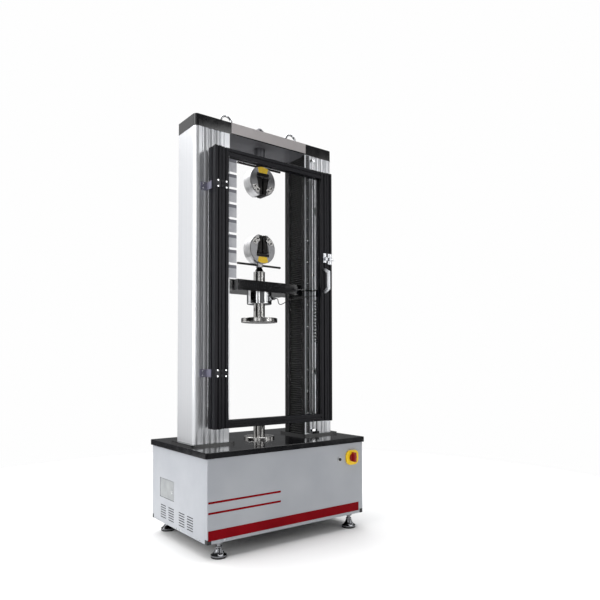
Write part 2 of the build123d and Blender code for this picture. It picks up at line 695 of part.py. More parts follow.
# Load cell, platen and base adapter
def build_compression():
    top = CROSSHEAD_BOTTOM
    low = top - CELL_HEIGHT
    groove, depth = low + CELL_GROOVE_RISE, CELL_GROOVE_DEPTH
    cell = turned(
        (0, low), (CELL_R - 2, low), (CELL_R, low + 2), (CELL_R, groove), (CELL_R - depth, groove + depth),
        (CELL_R, groove + 2 * depth), (CELL_R, top), (0, top),
    )
    plug_z = (low + top) / 2
    boss_end = CELL_R + 2
    plug_end = boss_end + PLUG_LENGTH
    aim = Pos(0, 0, plug_z) * Rot(0, 0, PLUG_AZIMUTH)
    boss = aim * block(CELL_R / 2, boss_end, -PLUG_HALF, PLUG_HALF, -PLUG_HALF, PLUG_HALF)
    along = aim * Rot(0, 90, 0)
    plug = along * upright(PLUG_R, boss_end, plug_end)
    nose = along * upright(NOSE_R, plug_end, plug_end + NOSE_LENGTH)
    save("load_cell", cell + boss + plug + nose)

    stem_low = low - PLATEN_STEM_LENGTH
    stem = upright(STEM_R, stem_low, low)
    across = Pos(0, 0, low - CROSS_PIN_OFFSET) * Rot(0, 90, 0)
    bore = across * Cylinder(CROSS_PIN_R, 2 * STEM_R + 2)
    pin = across * Cylinder(CROSS_PIN_R, 2 * (STEM_R - PIN_RECESS))
    save("platen_stem", stem - bore, pin)
    platen = upright(PLATEN_R, stem_low - PLATEN_THICK, stem_low)
    platen = chamfer(platen.edges().filter_by(GeomType.CIRCLE), 2)
    save("upper_platen", platen)

    top = PLATE_TOP + ADAPTER_HEIGHT
    flange_top = PLATE_TOP + ADAPTER_FLANGE_THICK
    adapter = turned(
        (0, PLATE_TOP), (ADAPTER_FLANGE_R, PLATE_TOP), (ADAPTER_FLANGE_R, flange_top - 2),
        (ADAPTER_FLANGE_R - 2, flange_top), (ADAPTER_R, flange_top), (ADAPTER_R, top - 2),
        (ADAPTER_R - 2, top), (0, top),
    )
    across = Pos(0, 0, top - CROSS_PIN_OFFSET) * Rot(90, 0, 0)
    adapter -= across * Cylinder(CROSS_PIN_R, 2 * ADAPTER_R + 2)
    for hole in range(6):
        angle = math.radians(30 + 60 * hole)
        x, y = ADAPTER_BOLT_CIRCLE * math.cos(angle), ADAPTER_BOLT_CIRCLE * math.sin(angle)
        adapter -= upright(ADAPTER_BOLT_R, flange_top - ADAPTER_FLANGE_THICK / 2, flange_top + 1, x, y)
    save("base_adapter", adapter)


# Guard: grooved aluminium posts and door frame with a clear panel
def slotted(width, depth):
    """A profile section with a groove in the middle of each face."""
    section = Rectangle(width, depth)
    section = fillet(section.vertices(), 1.5)
    for sign in (-1, 1):
        section -= Pos(sign * width / 2, 0) * Rectangle(2 * SLOT_DEPTH, SLOT_WIDTH)
        section -= Pos(0, sign * depth / 2) * Rectangle(SLOT_WIDTH, 2 * SLOT_DEPTH)
    return section


def build_guard():
    post_x = DOOR_HALF + DOOR_GAP + POST_WIDTH / 2
    post_y = -GUARD_FRONT + POST_DEPTH / 2
    post = Pos(post_x, post_y) * slotted(POST_WIDTH, POST_DEPTH)
    post = raised(post, GUARD_BOTTOM, GUARD_TOP)
    save("guard_posts", mirrored(post), post)

    door_y = -GUARD_FRONT + STILE / 2
    low, high = GUARD_BOTTOM + DOOR_INSET, GUARD_TOP - DOOR_INSET
    stile = raised(Pos(DOOR_HALF - STILE / 2, door_y) * slotted(STILE, STILE), low, high)
    inner = DOOR_HALF - STILE
    rail_section = Plane.YZ.offset(-inner) * slotted(STILE, STILE)
    rail = extrude(rail_section, 2 * inner)
    low_rail = Pos(0, door_y, low + STILE / 2) * rail
    high_rail = Pos(0, door_y, high - STILE / 2) * rail
    slot = PANEL_GROOVE
    half = PANEL_THICK / 2
    groove = half + GLAZING
    wide, bottom, top = inner + slot, low + STILE - slot, high - STILE + slot
    seat = block(-wide, wide, door_y - groove, door_y + groove, bottom, top)
    frame = [piece - seat for piece in (mirrored(stile), stile, low_rail, high_rail)]
    save("door_frame", *frame)
    wide, bottom, top = wide - GLAZING, bottom + GLAZING, top - GLAZING
    save("door_panel", block(-wide, wide, door_y - half, door_y + half, bottom, top))

    outside = DOOR_HALF + DOOR_GAP + POST_WIDTH
    t, h = BRACKET_THICK, BRACKET_HEIGHT / 2
    foot = block(outside, outside + h + 18, COLUMN_FRONT - t, COLUMN_FRONT, -h, h)
    ear = block(outside, outside + t, -GUARD_FRONT + 34, COLUMN_FRONT, -h, h)
    bracket = foot + ear
    axis_y = -GUARD_FRONT - KNUCKLE_R - 1
    hinge_x = -DOOR_HALF - DOOR_GAP / 2
    face = -GUARD_FRONT
    third = HINGE_HEIGHT / 3
    low_k, high_k = -HINGE_HEIGHT / 2, HINGE_HEIGHT / 2
    leaf = block(hinge_x - HINGE_LEAF, hinge_x - 6, face - LEAF_THICK, face, low_k, high_k)
    for z0 in (low_k, high_k - third):
        leaf += block(hinge_x - 7, hinge_x, face - LEAF_THICK, face - 1.5, z0, z0 + third)
        leaf += upright(KNUCKLE_R, z0, z0 + third, hinge_x, axis_y)
    leaf += upright(PIN_R, low_k, high_k, hinge_x, axis_y)
    door_leaf = block(hinge_x + 6, hinge_x + HINGE_LEAF, face - LEAF_THICK, face, low_k, high_k)
    z0, z1 = low_k + third + 0.2, high_k - third - 0.2
    door_leaf += block(hinge_x, hinge_x + 7, face - LEAF_THICK, face - 1.5, z0, z1)
    door_leaf += upright(KNUCKLE_R, z0, z1, hinge_x, axis_y)
    door_leaf -= upright(PIN_R + RUNNING, z0 - 1, z1 + 1, hinge_x, axis_y)
    heights = (LOWER_FITTING_Z, UPPER_FITTING_Z)
    brackets = [Pos(0, 0, z) * piece for z in heights for piece in (bracket, mirrored(bracket), leaf)]
    save("guard_brackets", *brackets)
    save("door_hinge_leaves", *[Pos(0, 0, z) * door_leaf for z in heights])
    build_door_fittings(face)


def build_door_fittings(face):
    handle_x = DOOR_HALF - STILE / 2 + 3
    foot, grip = HANDLE_FEET / 2, HANDLE_GRIP / 2
    reach, bar = HANDLE_REACH, HANDLE_BAR
    side = Polyline(
        (0, foot + 8), (5, foot + 8), (reach, grip + 5), (reach, -grip - 5), (5, -foot - 8),
        (0, -foot - 8), (0, -foot + 8), (4, -foot + 8), (reach - bar, -grip + 4),
        (reach - bar, grip - 4), (4, foot - 8), (0, foot - 8), close=True,
    )
    plane = Plane((handle_x - HANDLE_WIDTH / 2, face, HANDLE_Z), x_dir=(0, -1, 0), z_dir=(1, 0, 0))
    profile = make_face(side)
    bow = extrude(plane * profile, HANDLE_WIDTH)
    save("door_handle", bow)

    bolt_y = face - LEAF_THICK - 3 - BOLT_R
    lug, slot = BOLT_R + 3, BOLT_R + 1
    keeper_x0, keeper_x1 = DOOR_HALF - 23, DOOR_HALF - 7
    back = face - LEAF_THICK
    keeper = block(keeper_x0 - 4, keeper_x1 + 1, back, face, BOLT_Z - 20, BOLT_Z + 34)
    keeper += block(keeper_x0, keeper_x1, bolt_y - lug, back, BOLT_Z - lug - 2, BOLT_Z + lug + 2)
    keeper -= block(keeper_x0 - 5, keeper_x1 + 5, bolt_y - slot, bolt_y + slot, BOLT_Z - slot, BOLT_Z + slot)
    save("bolt_keeper", keeper)
    along = Rot(0, 90, 0)
    post_in = DOOR_HALF + DOOR_GAP
    guide = block(post_in + 4, post_in + 32, back, face, BOLT_Z - 28, BOLT_Z + 34)
    guide += block(post_in + 5, post_in + 15, bolt_y - lug, back, BOLT_Z - lug - 2, BOLT_Z + lug + 2)
    guide -= Pos(post_in + 10, bolt_y, BOLT_Z) * along * Cylinder(BOLT_R + RUNNING, 30)
    save("bolt_guide", guide)
    tip, back = post_in + 3, post_in + 15 + BOLT_THROW + 1
    knob_r = lug - 0.5
    bolt = Pos((tip + back) / 2, bolt_y, BOLT_Z) * along * Cylinder(BOLT_R, back - tip)
    knob = Pos(back + 5, bolt_y, BOLT_Z) * along * Cylinder(knob_r, 10)
    bolt += chamfer(knob.edges().filter_by(GeomType.CIRCLE), 1.5)
    save("latch_bolt", bolt)


# Main switch and start button on the cabinet front
def build_controls():
    face = CABINET_FRONT
    forward = Plane((SWITCH_X, face, SWITCH_Z), x_dir=(1, 0, 0), z_dir=(0, -1, 0))
    plate = Rectangle(SWITCH_WIDTH, SWITCH_HEIGHT)
    plate = fillet(plate.vertices(), 30)
    plate = extrude(forward * plate, SWITCH_THICK)
    shaft_r = 7
    plate -= Pos(SWITCH_X, face, SWITCH_Z) * Rot(90, 0, 0) * Cylinder(shaft_r + RUNNING, 60)
    save("switch_plate", plate)
    knob_plane = forward.offset(SWITCH_THICK + 0.3)
    base = extrude(knob_plane * Circle(KNOB_R), 8)
    lever = Rectangle(13, 2 * KNOB_R + 12) - Pos(0, -KNOB_R - 3) * Rectangle(20, 8)
    lever = extrude(knob_plane * (lever & Circle(KNOB_R + 6)), KNOB_LENGTH)
    shaft = extrude(forward.offset(-4) * Circle(shaft_r), SWITCH_THICK + 6)
    save("switch_knob", base + lever + shaft)

    place = Plane((START_X, face, START_Z), x_dir=(1, 0, 0), z_dir=(0, -1, 0))
    bezel = extrude(place * (Circle(START_R + 5) - Circle(START_R + RUNNING)), 4)
    bezel += extrude(place.offset(-14) * (Circle(START_R + 0.9) - Circle(START_R + RUNNING)), 14)
    save("start_bezel", bezel)
    save("start_button", extrude(place.offset(-10) * Circle(START_R), 17))


# Limit rod beside the scale, its two stops, and the striker on the crosshead
def build_limits():
    x, y = LIMIT_ROD_X, LIMIT_ROD_Y
    low, high = COLUMN_BOTTOM + 14, COLUMN_TOP - 27
    shaft = upright(LIMIT_ROD_R, low, high, x, y)
    holders = [block(x - 10, x + 10, y - 8, COLUMN_FRONT, z, z + 12) for z in (low, high - 12)]
    hole = upright(LIMIT_ROD_R, low - 1, high + 1, x, y)
    save("limit_rod", shaft, *[holder - hole for holder in holders])
    for name, z in (("upper", UPPER_STOP_Z), ("lower", LOWER_STOP_Z)):
        half = STOP_HEIGHT / 2
        save(f"{name}_stop", ring(STOP_R, LIMIT_ROD_R + RUNNING, z - half, z + half, x, y))

    z0, z1 = STRIKER_Z, STRIKER_Z + STRIKER_THICK
    front = -CROSSHEAD_HALF_DEPTH
    near = COLUMN_FRONT - 1
    reach_y = COIL_Y - COIL_R - 4
    inner, outer = CROSSHEAD_HALF - 40, CROSSHEAD_HALF - 4
    striker = block(inner, x + 8, y - 8, near, z0, z1)
    striker += block(inner, outer, near, front, z0, z1)
    striker += block(inner, outer, front - 4, front, z0 - 10, z1 + 14)
    striker += block(x - 10, x + 8, reach_y - 9, y - 8, z0, z1)
    striker += block(x + 8, COIL_X + 12, reach_y - 9, reach_y, z0, z1)
    striker += block(COIL_X - 16, COIL_X - 8, reach_y - 8, reach_y - 1, z0 - 34, z0)
    striker -= upright(LIMIT_ROD_R + 0.6, z0 - 1, z1 + 1, x, y)
    clip_z = z0 - 27
    striker -= Pos(COIL_X, reach_y - 4.5, clip_z) * Rot(0, 90, 0) * Cylinder(LEAD_R + 0.3, 40)
    save("limit_striker", striker)


# Load-cell lead: a straight run to the clip, then the curly stretch and its tail to the gland
LEAD_ROUTE = [
    (57.4, -81.9, 1282), (61.4, -87.6, 1282), (63.5, -92.5, 1276.5), (63, -95.5, 1266), (63.5, -98, 1256),
    (68, -100.5, 1249), (76, -102.5, 1247.5), (86, -104.5, 1251), (98, -106.5, 1258.5), (120, -110.5, 1270),
    (150, -116, 1281), (182, -122, 1289.5), (214, -127.5, 1296), (250, -132, 1302.5),
    (282, -136, 1307.5), (303, -136.5, 1309), (319, -136.5, 1309), (327.5, -133.5, 1308.5),
    (331, -127, 1307.5), (330.5, -120.5, 1304.5), (329, -117, 1300), (329, -117, 1294),
]


def lead_tube(route, radius):
    """A round tube of straight runs and tangent arcs along the route."""
    points = [Vector(*point) for point in route]
    radii = []
    for before, here, after in zip(points, points[1:], points[2:]):
        first, second = here - before, after - here
        half_turn = math.radians(first.get_angle(second)) / 2
        radii.append(0.45 * min(first.length, second.length) / math.tan(half_turn))
    print("lead radii", [round(r) for r in radii])
    path = FilletPolyline(*points, radius=radii)
    section = Plane(points[0], z_dir=points[1] - points[0]) * Circle(radius)
    return sweep(section, path), path.length


def build_lead():
    tube, length = lead_tube(LEAD_ROUTE, LEAD_R)
    print("lead length", round(length), "volume", round(tube.volume))
    save("load_cell_lead", tube)
    gland_top = COLUMN_BOTTOM + GLAND_HEIGHT
    coil = upright(COIL_R, COIL_BOTTOM, COIL_TOP, COIL_X, COIL_Y)
    tail = upright(LEAD_R, gland_top, COIL_BOTTOM, COIL_X, COIL_Y)
    save("lead_coil", coil, tail)
    body = block(COIL_X - 12, COIL_X + 12, COIL_Y - 12, COLUMN_FRONT, COLUMN_BOTTOM, gland_top - 12)
    nose = upright(6, gland_top - 12, gland_top, COIL_X, COIL_Y)
    save("lead_gland", body + nose)


build_feet()
build_frame()
build_cabinet()
build_base_plate()
build_columns()
build_beam()
build_drive()
build_crosshead()
build_bellows()
build_grips()
build_compression()
build_guard()
build_controls()
build_limits()
build_lead()
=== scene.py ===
# %% [markdown]
# # A universal testing machine, dressed from its CAD frame
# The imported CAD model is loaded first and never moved. Every later piece is placed by the
# sizes that the frame reports, in metres, with +Z up and the front towards -Y.

# %% Load the frame
import math

import bmesh
import bpy
from mathutils import Matrix, Vector


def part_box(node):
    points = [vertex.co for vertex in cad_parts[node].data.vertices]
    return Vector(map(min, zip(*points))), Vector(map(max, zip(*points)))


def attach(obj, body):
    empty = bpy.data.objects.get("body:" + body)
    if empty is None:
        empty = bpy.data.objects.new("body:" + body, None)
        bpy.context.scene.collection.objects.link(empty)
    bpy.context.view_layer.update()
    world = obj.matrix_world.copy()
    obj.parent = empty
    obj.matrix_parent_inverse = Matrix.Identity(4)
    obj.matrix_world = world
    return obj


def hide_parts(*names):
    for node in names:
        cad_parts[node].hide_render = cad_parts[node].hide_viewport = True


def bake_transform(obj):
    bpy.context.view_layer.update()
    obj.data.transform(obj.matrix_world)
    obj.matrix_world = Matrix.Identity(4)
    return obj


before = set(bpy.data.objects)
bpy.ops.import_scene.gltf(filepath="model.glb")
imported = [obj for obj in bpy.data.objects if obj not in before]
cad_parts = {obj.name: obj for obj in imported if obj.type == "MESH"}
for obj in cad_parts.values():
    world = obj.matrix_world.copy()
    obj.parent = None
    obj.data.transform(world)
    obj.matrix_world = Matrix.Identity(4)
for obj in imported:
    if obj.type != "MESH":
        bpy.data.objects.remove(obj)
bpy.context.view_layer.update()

# %% [markdown]
# ## Small helpers
# A product file is easiest to read in millimetres, so one factor turns them into metres.
# Colours are written as the hex values that a picker shows, which are sRGB, and one function
# turns them into the linear values that the renderer works with. One function adds a shader
# node, sets it and wires it, which keeps each material a short list of what it is made of.

# %% Units, colours and shader nodes
MM = 0.001


def linear(hexa):
    """Linear RGBA of an sRGB hex colour."""
    channels = [int(hexa[i:i + 2], 16) / 255 for i in (0, 2, 4)]
    return tuple(c / 12.92 if c <= 0.04045 else ((c + 0.055) / 1.055) ** 2.4 for c in channels) + (1.0,)


def add(tree, kind, inputs=None, **settings):
    """One shader node with its settings, values and links."""
    made = tree.nodes.new(kind)
    for name, value in settings.items():
        setattr(made, name, value)
    for name, value in (inputs or {}).items():
        if isinstance(value, bpy.types.NodeSocket):
            tree.links.new(value, made.inputs[name])
        else:
            made.inputs[name].default_value = value
    return made


def finish_named(name, hexa, metallic, roughness, **more):
    """A new material with one Principled shader, and its tree, shader and object coordinates."""
    made = bpy.data.materials.new(name)
    made.use_nodes = True
    tree = made.node_tree
    shader = tree.nodes["Principled BSDF"]
    values = {"Base Color": linear(hexa), "Metallic": metallic, "Roughness": roughness}
    for socket, value in {**values, **more}.items():
        shader.inputs[socket].default_value = value
    place = add(tree, "ShaderNodeTexCoord").outputs["Object"]
    return made, tree, shader, place


print("the middle grey 808080 is", round(linear("808080")[0], 3), "in linear light")

# %% Grain, spread, relief and tint
def grain(tree, place, size, stretch=(1, 1, 1)):
    """Noise whose grains are about size millimetres, longer along an axis with a stretch over 1."""
    scale = tuple(1 / s for s in stretch)
    mapped = add(tree, "ShaderNodeMapping", {"Vector": place, "Scale": scale}).outputs["Vector"]
    values = {"Vector": mapped, "Scale": 1 / (size * MM), "Detail": 2.0}
    return add(tree, "ShaderNodeTexNoise", values).outputs["Fac"]


def spread(tree, value, low, high):
    """A noise value taken from its usual middle range to low..high."""
    values = {"Value": value, "From Min": 0.3, "From Max": 0.7, "To Min": low, "To Max": high}
    return add(tree, "ShaderNodeMapRange", values).outputs["Result"]


def bumped(tree, shader, height, depth):
    """The shader's surface, raised by up to depth millimetres."""
    bump = add(tree, "ShaderNodeBump", {"Height": height, "Distance": depth * MM, "Strength": 1.0})
    tree.links.new(bump.outputs["Normal"], shader.inputs["Normal"])


def tinted(tree, shader, value, low, high):
    """The shader's base colour, between two hex colours."""
    mix = add(tree, "ShaderNodeMix", {"Factor": value}, data_type="RGBA")
    mix.inputs["A"].default_value, mix.inputs["B"].default_value = linear(low), linear(high)
    tree.links.new(mix.outputs["Result"], shader.inputs["Base Color"])
    return mix


print("patterns ready")

# %% Masks and a second colour
def within(tree, value, limit):
    """1 where a coordinate is less than limit metres from zero, and 0 elsewhere."""
    size = add(tree, "ShaderNodeMath", {0: value}, operation="ABSOLUTE").outputs["Value"]
    return add(tree, "ShaderNodeMath", {0: size, 1: limit}, operation="LESS_THAN").outputs["Value"]


def repainted(tree, shader, where, hexa):
    """The shader's base colour, with another hex colour where a mask is 1."""
    colour = shader.inputs["Base Color"]
    before = colour.links[0].from_socket if colour.is_linked else None
    constant = tuple(colour.default_value)
    over = tinted(tree, shader, where, "000000", hexa)
    if before:
        tree.links.new(before, over.inputs["A"])
    else:
        over.inputs["A"].default_value = constant


def second_colour(name, finish, mask, hexa):
    """A copy of a finish, with another hex colour where mask(tree, coordinates) is 1."""
    made = finish.copy()
    made.name = name
    tree = made.node_tree
    shader = tree.nodes["Principled BSDF"]
    where = mask(tree, add(tree, "ShaderNodeTexCoord").outputs)
    repainted(tree, shader, where, hexa)
    return made, tree, shader, where


print("second colours ready")

# %% [markdown]
# ## Sprayed finishes
# The cabinet is sheet steel with a polyester powder coat. The powder melts in an oven and keeps
# a faint orange peel about two millimetres wide, which breaks highlights into soft patches.
# Its inner faces behind the vents carry painted shade: a dark colour for the unlit inside of the
# cabinet. The beam and the crosshead have a gloss black enamel, which is wetter: its highlights
# stay sharp and only its roughness drifts a little. The base plate has a deeper black paint with
# fine specks under a thin clear coat, and the guard's brackets have a grey paint.

# %% Powder coat
SIDE_SKIN, FRONT_SKIN = 1.0, 2.5      # mm: what lies deeper behind the outer faces is the inside
cabinet_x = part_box("cabinet_sides")[1].x - SIDE_SKIN * MM
cabinet_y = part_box("cabinet_rear")[1].y - FRONT_SKIN * MM

powder_coat, tree, shader, place = finish_named("powder_coat_white", "A3A6AB", 0.0, 0.4)
drift = grain(tree, place, 180)
tinted(tree, shader, spread(tree, drift, 0, 1), "9FA2A8", "A7AAAF")
tree.links.new(spread(tree, grain(tree, place, 30), 0.35, 0.45), shader.inputs["Roughness"])
bumped(tree, shader, grain(tree, place, 2.2), 0.03)
axes = add(tree, "ShaderNodeSeparateXYZ", {"Vector": place}).outputs
# Painted shade: faces deeper than the skin get a dark colour for the unlit inside of the cabinet.
deep, far = within(tree, axes["X"], cabinet_x), within(tree, axes["Y"], cabinet_y)
inside = add(tree, "ShaderNodeMath", {0: deep, 1: far}, operation="MULTIPLY").outputs["Value"]
repainted(tree, shader, inside, "17181A")
print("powder coat, dark within", round(cabinet_x / MM), "and", round(cabinet_y / MM), "mm")

# %% Enamel, worktop paint and bracket paint
enamel, tree, shader, place = finish_named("gloss_black_enamel", "131315", 0.0, 0.16, IOR=1.5)
tree.links.new(spread(tree, grain(tree, place, 45), 0.07, 0.12), shader.inputs["Roughness"])
bumped(tree, shader, grain(tree, place, 9), 0.012)

worktop, tree, shader, place = finish_named("polished_black_worktop", "060608", 0.0, 0.1, IOR=1.5)
shader.inputs["Coat Weight"].default_value = 0.1
shader.inputs["Specular IOR Level"].default_value = 0.22
shader.inputs["Coat Roughness"].default_value = 0.05
tree.links.new(spread(tree, grain(tree, place, 60), 0.1, 0.2), shader.inputs["Roughness"])
tinted(tree, shader, spread(tree, grain(tree, place, 1.2), 0, 1), "050507", "0E0E12")

bracket_paint, tree, shader, place = finish_named("bracket_grey_paint", "6A6978", 0.0, 0.4)
tree.links.new(spread(tree, grain(tree, place, 20), 0.34, 0.46), shader.inputs["Roughness"])
bumped(tree, shader, grain(tree, place, 2.2), 0.02)
print("sprayed finishes: 4")

# %% [markdown]
# ## Aluminium
# The columns are extruded and clear anodised. The die leaves fine lines along the profile, so
# their noise is drawn out along Z. Inside its mouth the profile is dark and matt. The guard's
# profiles are the same process with a black dye, so they keep the lines but lose the
# brightness. Cast fittings are blasted before they are anodised, which gives an even satin.

# %% Extruded, dyed and cast aluminium
INNER_FACE = 251.0      # mm from the load axis: what lies inside it is the dark mouth of the column
METALLIC, MOUTH_MATT = 0.8, 0.6

extrusion, tree, shader, place = finish_named("clear_anodised_extrusion", "D9DBDE", METALLIC, 0.2)
lines = grain(tree, place, 3, (1, 1, 900))
fine = spread(tree, lines, 0.3, 0.32)
tinted(tree, shader, spread(tree, lines, 0, 1), "DDDFE2", "E4E5E8")
across = add(tree, "ShaderNodeSeparateXYZ", {"Vector": place}).outputs["X"]
mouth = within(tree, across, INNER_FACE * MM)
repainted(tree, shader, mouth, "0E0E10")
metal = add(tree, "ShaderNodeMath", {0: mouth, 1: -METALLIC, 2: METALLIC}, operation="MULTIPLY_ADD")
tree.links.new(metal.outputs["Value"], shader.inputs["Metallic"])
matt = add(tree, "ShaderNodeMath", {0: mouth, 1: MOUTH_MATT, 2: fine}, operation="MULTIPLY_ADD")
tree.links.new(matt.outputs["Value"], shader.inputs["Roughness"])

black_profile, tree, shader, place = finish_named("black_anodised_profile", "0E0E14", 0.35, 0.32)
shader.inputs["Specular IOR Level"].default_value = 0.3
lines = grain(tree, place, 0.8, (1, 1, 120))
tree.links.new(spread(tree, lines, 0.26, 0.4), shader.inputs["Roughness"])
bumped(tree, shader, lines, 0.01)

cast, tree, shader, place = finish_named("satin_cast_aluminium", "DADCE0", 1.0, 0.36)
tree.links.new(spread(tree, grain(tree, place, 6), 0.3, 0.42), shader.inputs["Roughness"])
bumped(tree, shader, grain(tree, place, 0.7), 0.02)

brushed_plate, tree, shader, place = finish_named("brushed_aluminium_plate", "B6B1B1", 0.7, 0.36)
lines = grain(tree, place, 0.5, (80, 1, 1))
tree.links.new(spread(tree, lines, 0.28, 0.46), shader.inputs["Roughness"])
bumped(tree, shader, lines, 0.012)
print("aluminium finishes: 4")

# %% [markdown]
# ## Steel
# Ground steel keeps a fine grain and an uneven oil film. Chrome is smoother and darker at a
# glance, because it mirrors the room, and the feet have a smoked one. Handles are blackened in
# a hot salt bath, and the hardened jaws are darker still, both with the machining showing. The
# grips are satin nickelled, and the guide bushes are bronze.

# %% Ground, chromed and blackened steel
ground, tree, shader, place = finish_named("ground_steel", "B9B8B6", 1.0, 0.22)
tree.links.new(spread(tree, grain(tree, place, 1.1, (1, 1, 0.3)), 0.16, 0.3), shader.inputs["Roughness"])
tinted(tree, shader, spread(tree, grain(tree, place, 22), 0, 1), "ADABA8", "C6C5C4")
bumped(tree, shader, grain(tree, place, 0.6, (6, 6, 0.4)), 0.008)

chrome, tree, shader, place = finish_named("polished_chrome", "D3D4D6", 1.0, 0.07)
tree.links.new(spread(tree, grain(tree, place, 14), 0.05, 0.12), shader.inputs["Roughness"])

foot_chrome, tree, shader, place = finish_named("smoked_chrome", "7A7B7E", 1.0, 0.16)
tree.links.new(spread(tree, grain(tree, place, 14), 0.12, 0.22), shader.inputs["Roughness"])

blackened, tree, shader, place = finish_named("blackened_steel", "2B2A2A", 0.85, 0.38)
tree.links.new(spread(tree, grain(tree, place, 2.5), 0.3, 0.48), shader.inputs["Roughness"])
tinted(tree, shader, spread(tree, grain(tree, place, 12), 0, 1), "242323", "3A3836")
bumped(tree, shader, grain(tree, place, 0.8), 0.02)

satin, tree, shader, place = finish_named("satin_nickelled_steel", "CFCFD0", 0.9, 0.4)
tree.links.new(spread(tree, grain(tree, place, 3), 0.34, 0.46), shader.inputs["Roughness"])
tinted(tree, shader, spread(tree, grain(tree, place, 26), 0, 1), "C2C2C4", "DADADB")
bumped(tree, shader, grain(tree, place, 0.7), 0.01)

jaw_steel, tree, shader, place = finish_named("hardened_jaw_steel", "161514", 0.6, 0.42)
tree.links.new(spread(tree, grain(tree, place, 2.5), 0.36, 0.5), shader.inputs["Roughness"])
tinted(tree, shader, spread(tree, grain(tree, place, 9), 0, 1), "0F0E0E", "1F1C1A")
bumped(tree, shader, grain(tree, place, 0.8), 0.02)

bronze, tree, shader, place = finish_named("bearing_bronze", "9C7A45", 1.0, 0.3)
tree.links.new(spread(tree, grain(tree, place, 3), 0.24, 0.38), shader.inputs["Roughness"])
print("steel finishes: 7")

# %% [markdown]
# ## Plastics, rubber and the clear panel
# Moulded parts differ mostly in how matt they are. The panel is cast acrylic: nearly all light
# goes straight through and only its gloss is seen, so it is a thin coat of colour with a low
# alpha, which also exports well.

# %% Plastics, rubber and acrylic
black_plastic, tree, shader, place = finish_named("moulded_black_plastic", "17171A", 0.0, 0.5)
bumped(tree, shader, grain(tree, place, 0.8), 0.03)

yellow_plastic, tree, shader, place = finish_named("yellow_moulding", "F5CB08", 0.0, 0.32)
tree.links.new(spread(tree, grain(tree, place, 5), 0.28, 0.38), shader.inputs["Roughness"])
bumped(tree, shader, grain(tree, place, 1.2), 0.02)

red_plastic, tree, shader, place = finish_named("red_moulding", "8E0A12", 0.0, 0.34)
tree.links.new(spread(tree, grain(tree, place, 5), 0.3, 0.4), shader.inputs["Roughness"])
bumped(tree, shader, grain(tree, place, 1.2), 0.02)

red_film, tree, shader, place = finish_named("red_vinyl_film", "7C0410", 0.0, 0.5)
shader.inputs["Specular IOR Level"].default_value = 0.04
tinted(tree, shader, spread(tree, grain(tree, place, 90), 0, 1), "76030E", "840612")
bumped(tree, shader, grain(tree, place, 2.4), 0.02)

rubber, tree, shader, place = finish_named("moulded_rubber", "161617", 0.0, 0.72)
bumped(tree, shader, grain(tree, place, 1.0), 0.05)

sheath, tree, shader, place = finish_named("cable_sheath", "0B0B0C", 0.0, 0.5)
bumped(tree, shader, grain(tree, place, 1.5), 0.02)

acrylic = finish_named("cast_acrylic", "1C2226", 0.0, 0.03, Alpha=0.012)[0]
print("plastics and rubber: 7")

# %% [markdown]
# ## Which finish goes on which CAD piece
# The CAD pieces already have the right shape, so each only gets its finish.

# %% Dress the CAD pieces
DRESSED = {
    powder_coat: ["cabinet_front", "cabinet_rear", "cabinet_sides"],
    enamel: ["base_frame", "column_flanges", "drive_motor", "limit_striker"],
    worktop: ["base_plate"],
    extrusion: ["column_covers"],
    black_profile: ["guard_posts", "door_frame", "door_hinge_leaves"],
    cast: ["door_handle", "bolt_keeper", "bolt_guide"],
    brushed_plate: ["name_plate"],
    ground: [
        "platen_stem", "upper_platen", "base_adapter", "left_ball_screw", "right_ball_screw",
        "ball_nuts", "screw_bearings", "motor_pulley", "upper_stop", "lower_stop",
    ],
    foot_chrome: ["levelling_feet"],
    chrome: ["load_cell", "lifting_eyes", "guide_rods", "limit_rod", "latch_bolt"],
    satin: ["start_bezel"],
    blackened: ["upper_grip_handle", "start_button"],
    jaw_steel: ["upper_left_jaw", "upper_right_jaw", "lower_left_jaw", "lower_right_jaw"],
    bronze: ["guide_bushes"],
    black_plastic: ["corner_caps", "servo_drive", "lead_gland"],
    yellow_plastic: ["switch_plate"],
    red_plastic: ["switch_knob"],
    rubber: ["foot_pads", "drive_belt"],
    acrylic: ["door_panel"],
}
print("finishes in use:", len(DRESSED))

# %% [markdown]
# Some pieces have two finishes. The crosshead's underside is machined and bare, and its end
# faces carry painted light, a pale grey. The beam's underside is a lighter grey, and so is the
# upper grip's stem where it meets the beam. The lower grip's handle turns on a bright hub, and
# the cone under it is blackened. The grips' round rims are nickelled and their flat faces ground.
# The hinge leaves on the guard's posts are black, unlike the brackets. Each is a copy of the main
# finish with a second colour, held by a mask that is worked out from the piece's own coordinates.

# %% Masks for a second finish
STEEP = 0.7             # how much of its normal a face needs along an axis to look along it


def side_of(axis, operation, limit):
    """A mask for what lies to one side of a plane across an axis, limit metres from zero."""
    def mask(tree, coordinates):
        along = add(tree, "ShaderNodeSeparateXYZ", {"Vector": coordinates["Object"]}).outputs[axis]
        return add(tree, "ShaderNodeMath", {0: along, 1: limit}, operation=operation).outputs["Value"]

    return mask


def faces_along(axis):
    """A mask for the faces that look along an axis, either way."""
    def mask(tree, coordinates):
        along = add(tree, "ShaderNodeSeparateXYZ", {"Vector": coordinates["Normal"]}).outputs[axis]
        size = add(tree, "ShaderNodeMath", {0: along}, operation="ABSOLUTE").outputs["Value"]
        return add(tree, "ShaderNodeMath", {0: size, 1: STEEP}, operation="GREATER_THAN").outputs["Value"]

    return mask


def close_to_middle(limit):
    """A mask for what lies less than limit metres to either side of the middle."""
    def mask(tree, coordinates):
        sideways = add(tree, "ShaderNodeSeparateXYZ", {"Vector": coordinates["Object"]}).outputs["X"]
        return within(tree, sideways, limit)

    return mask


print("masks ready")

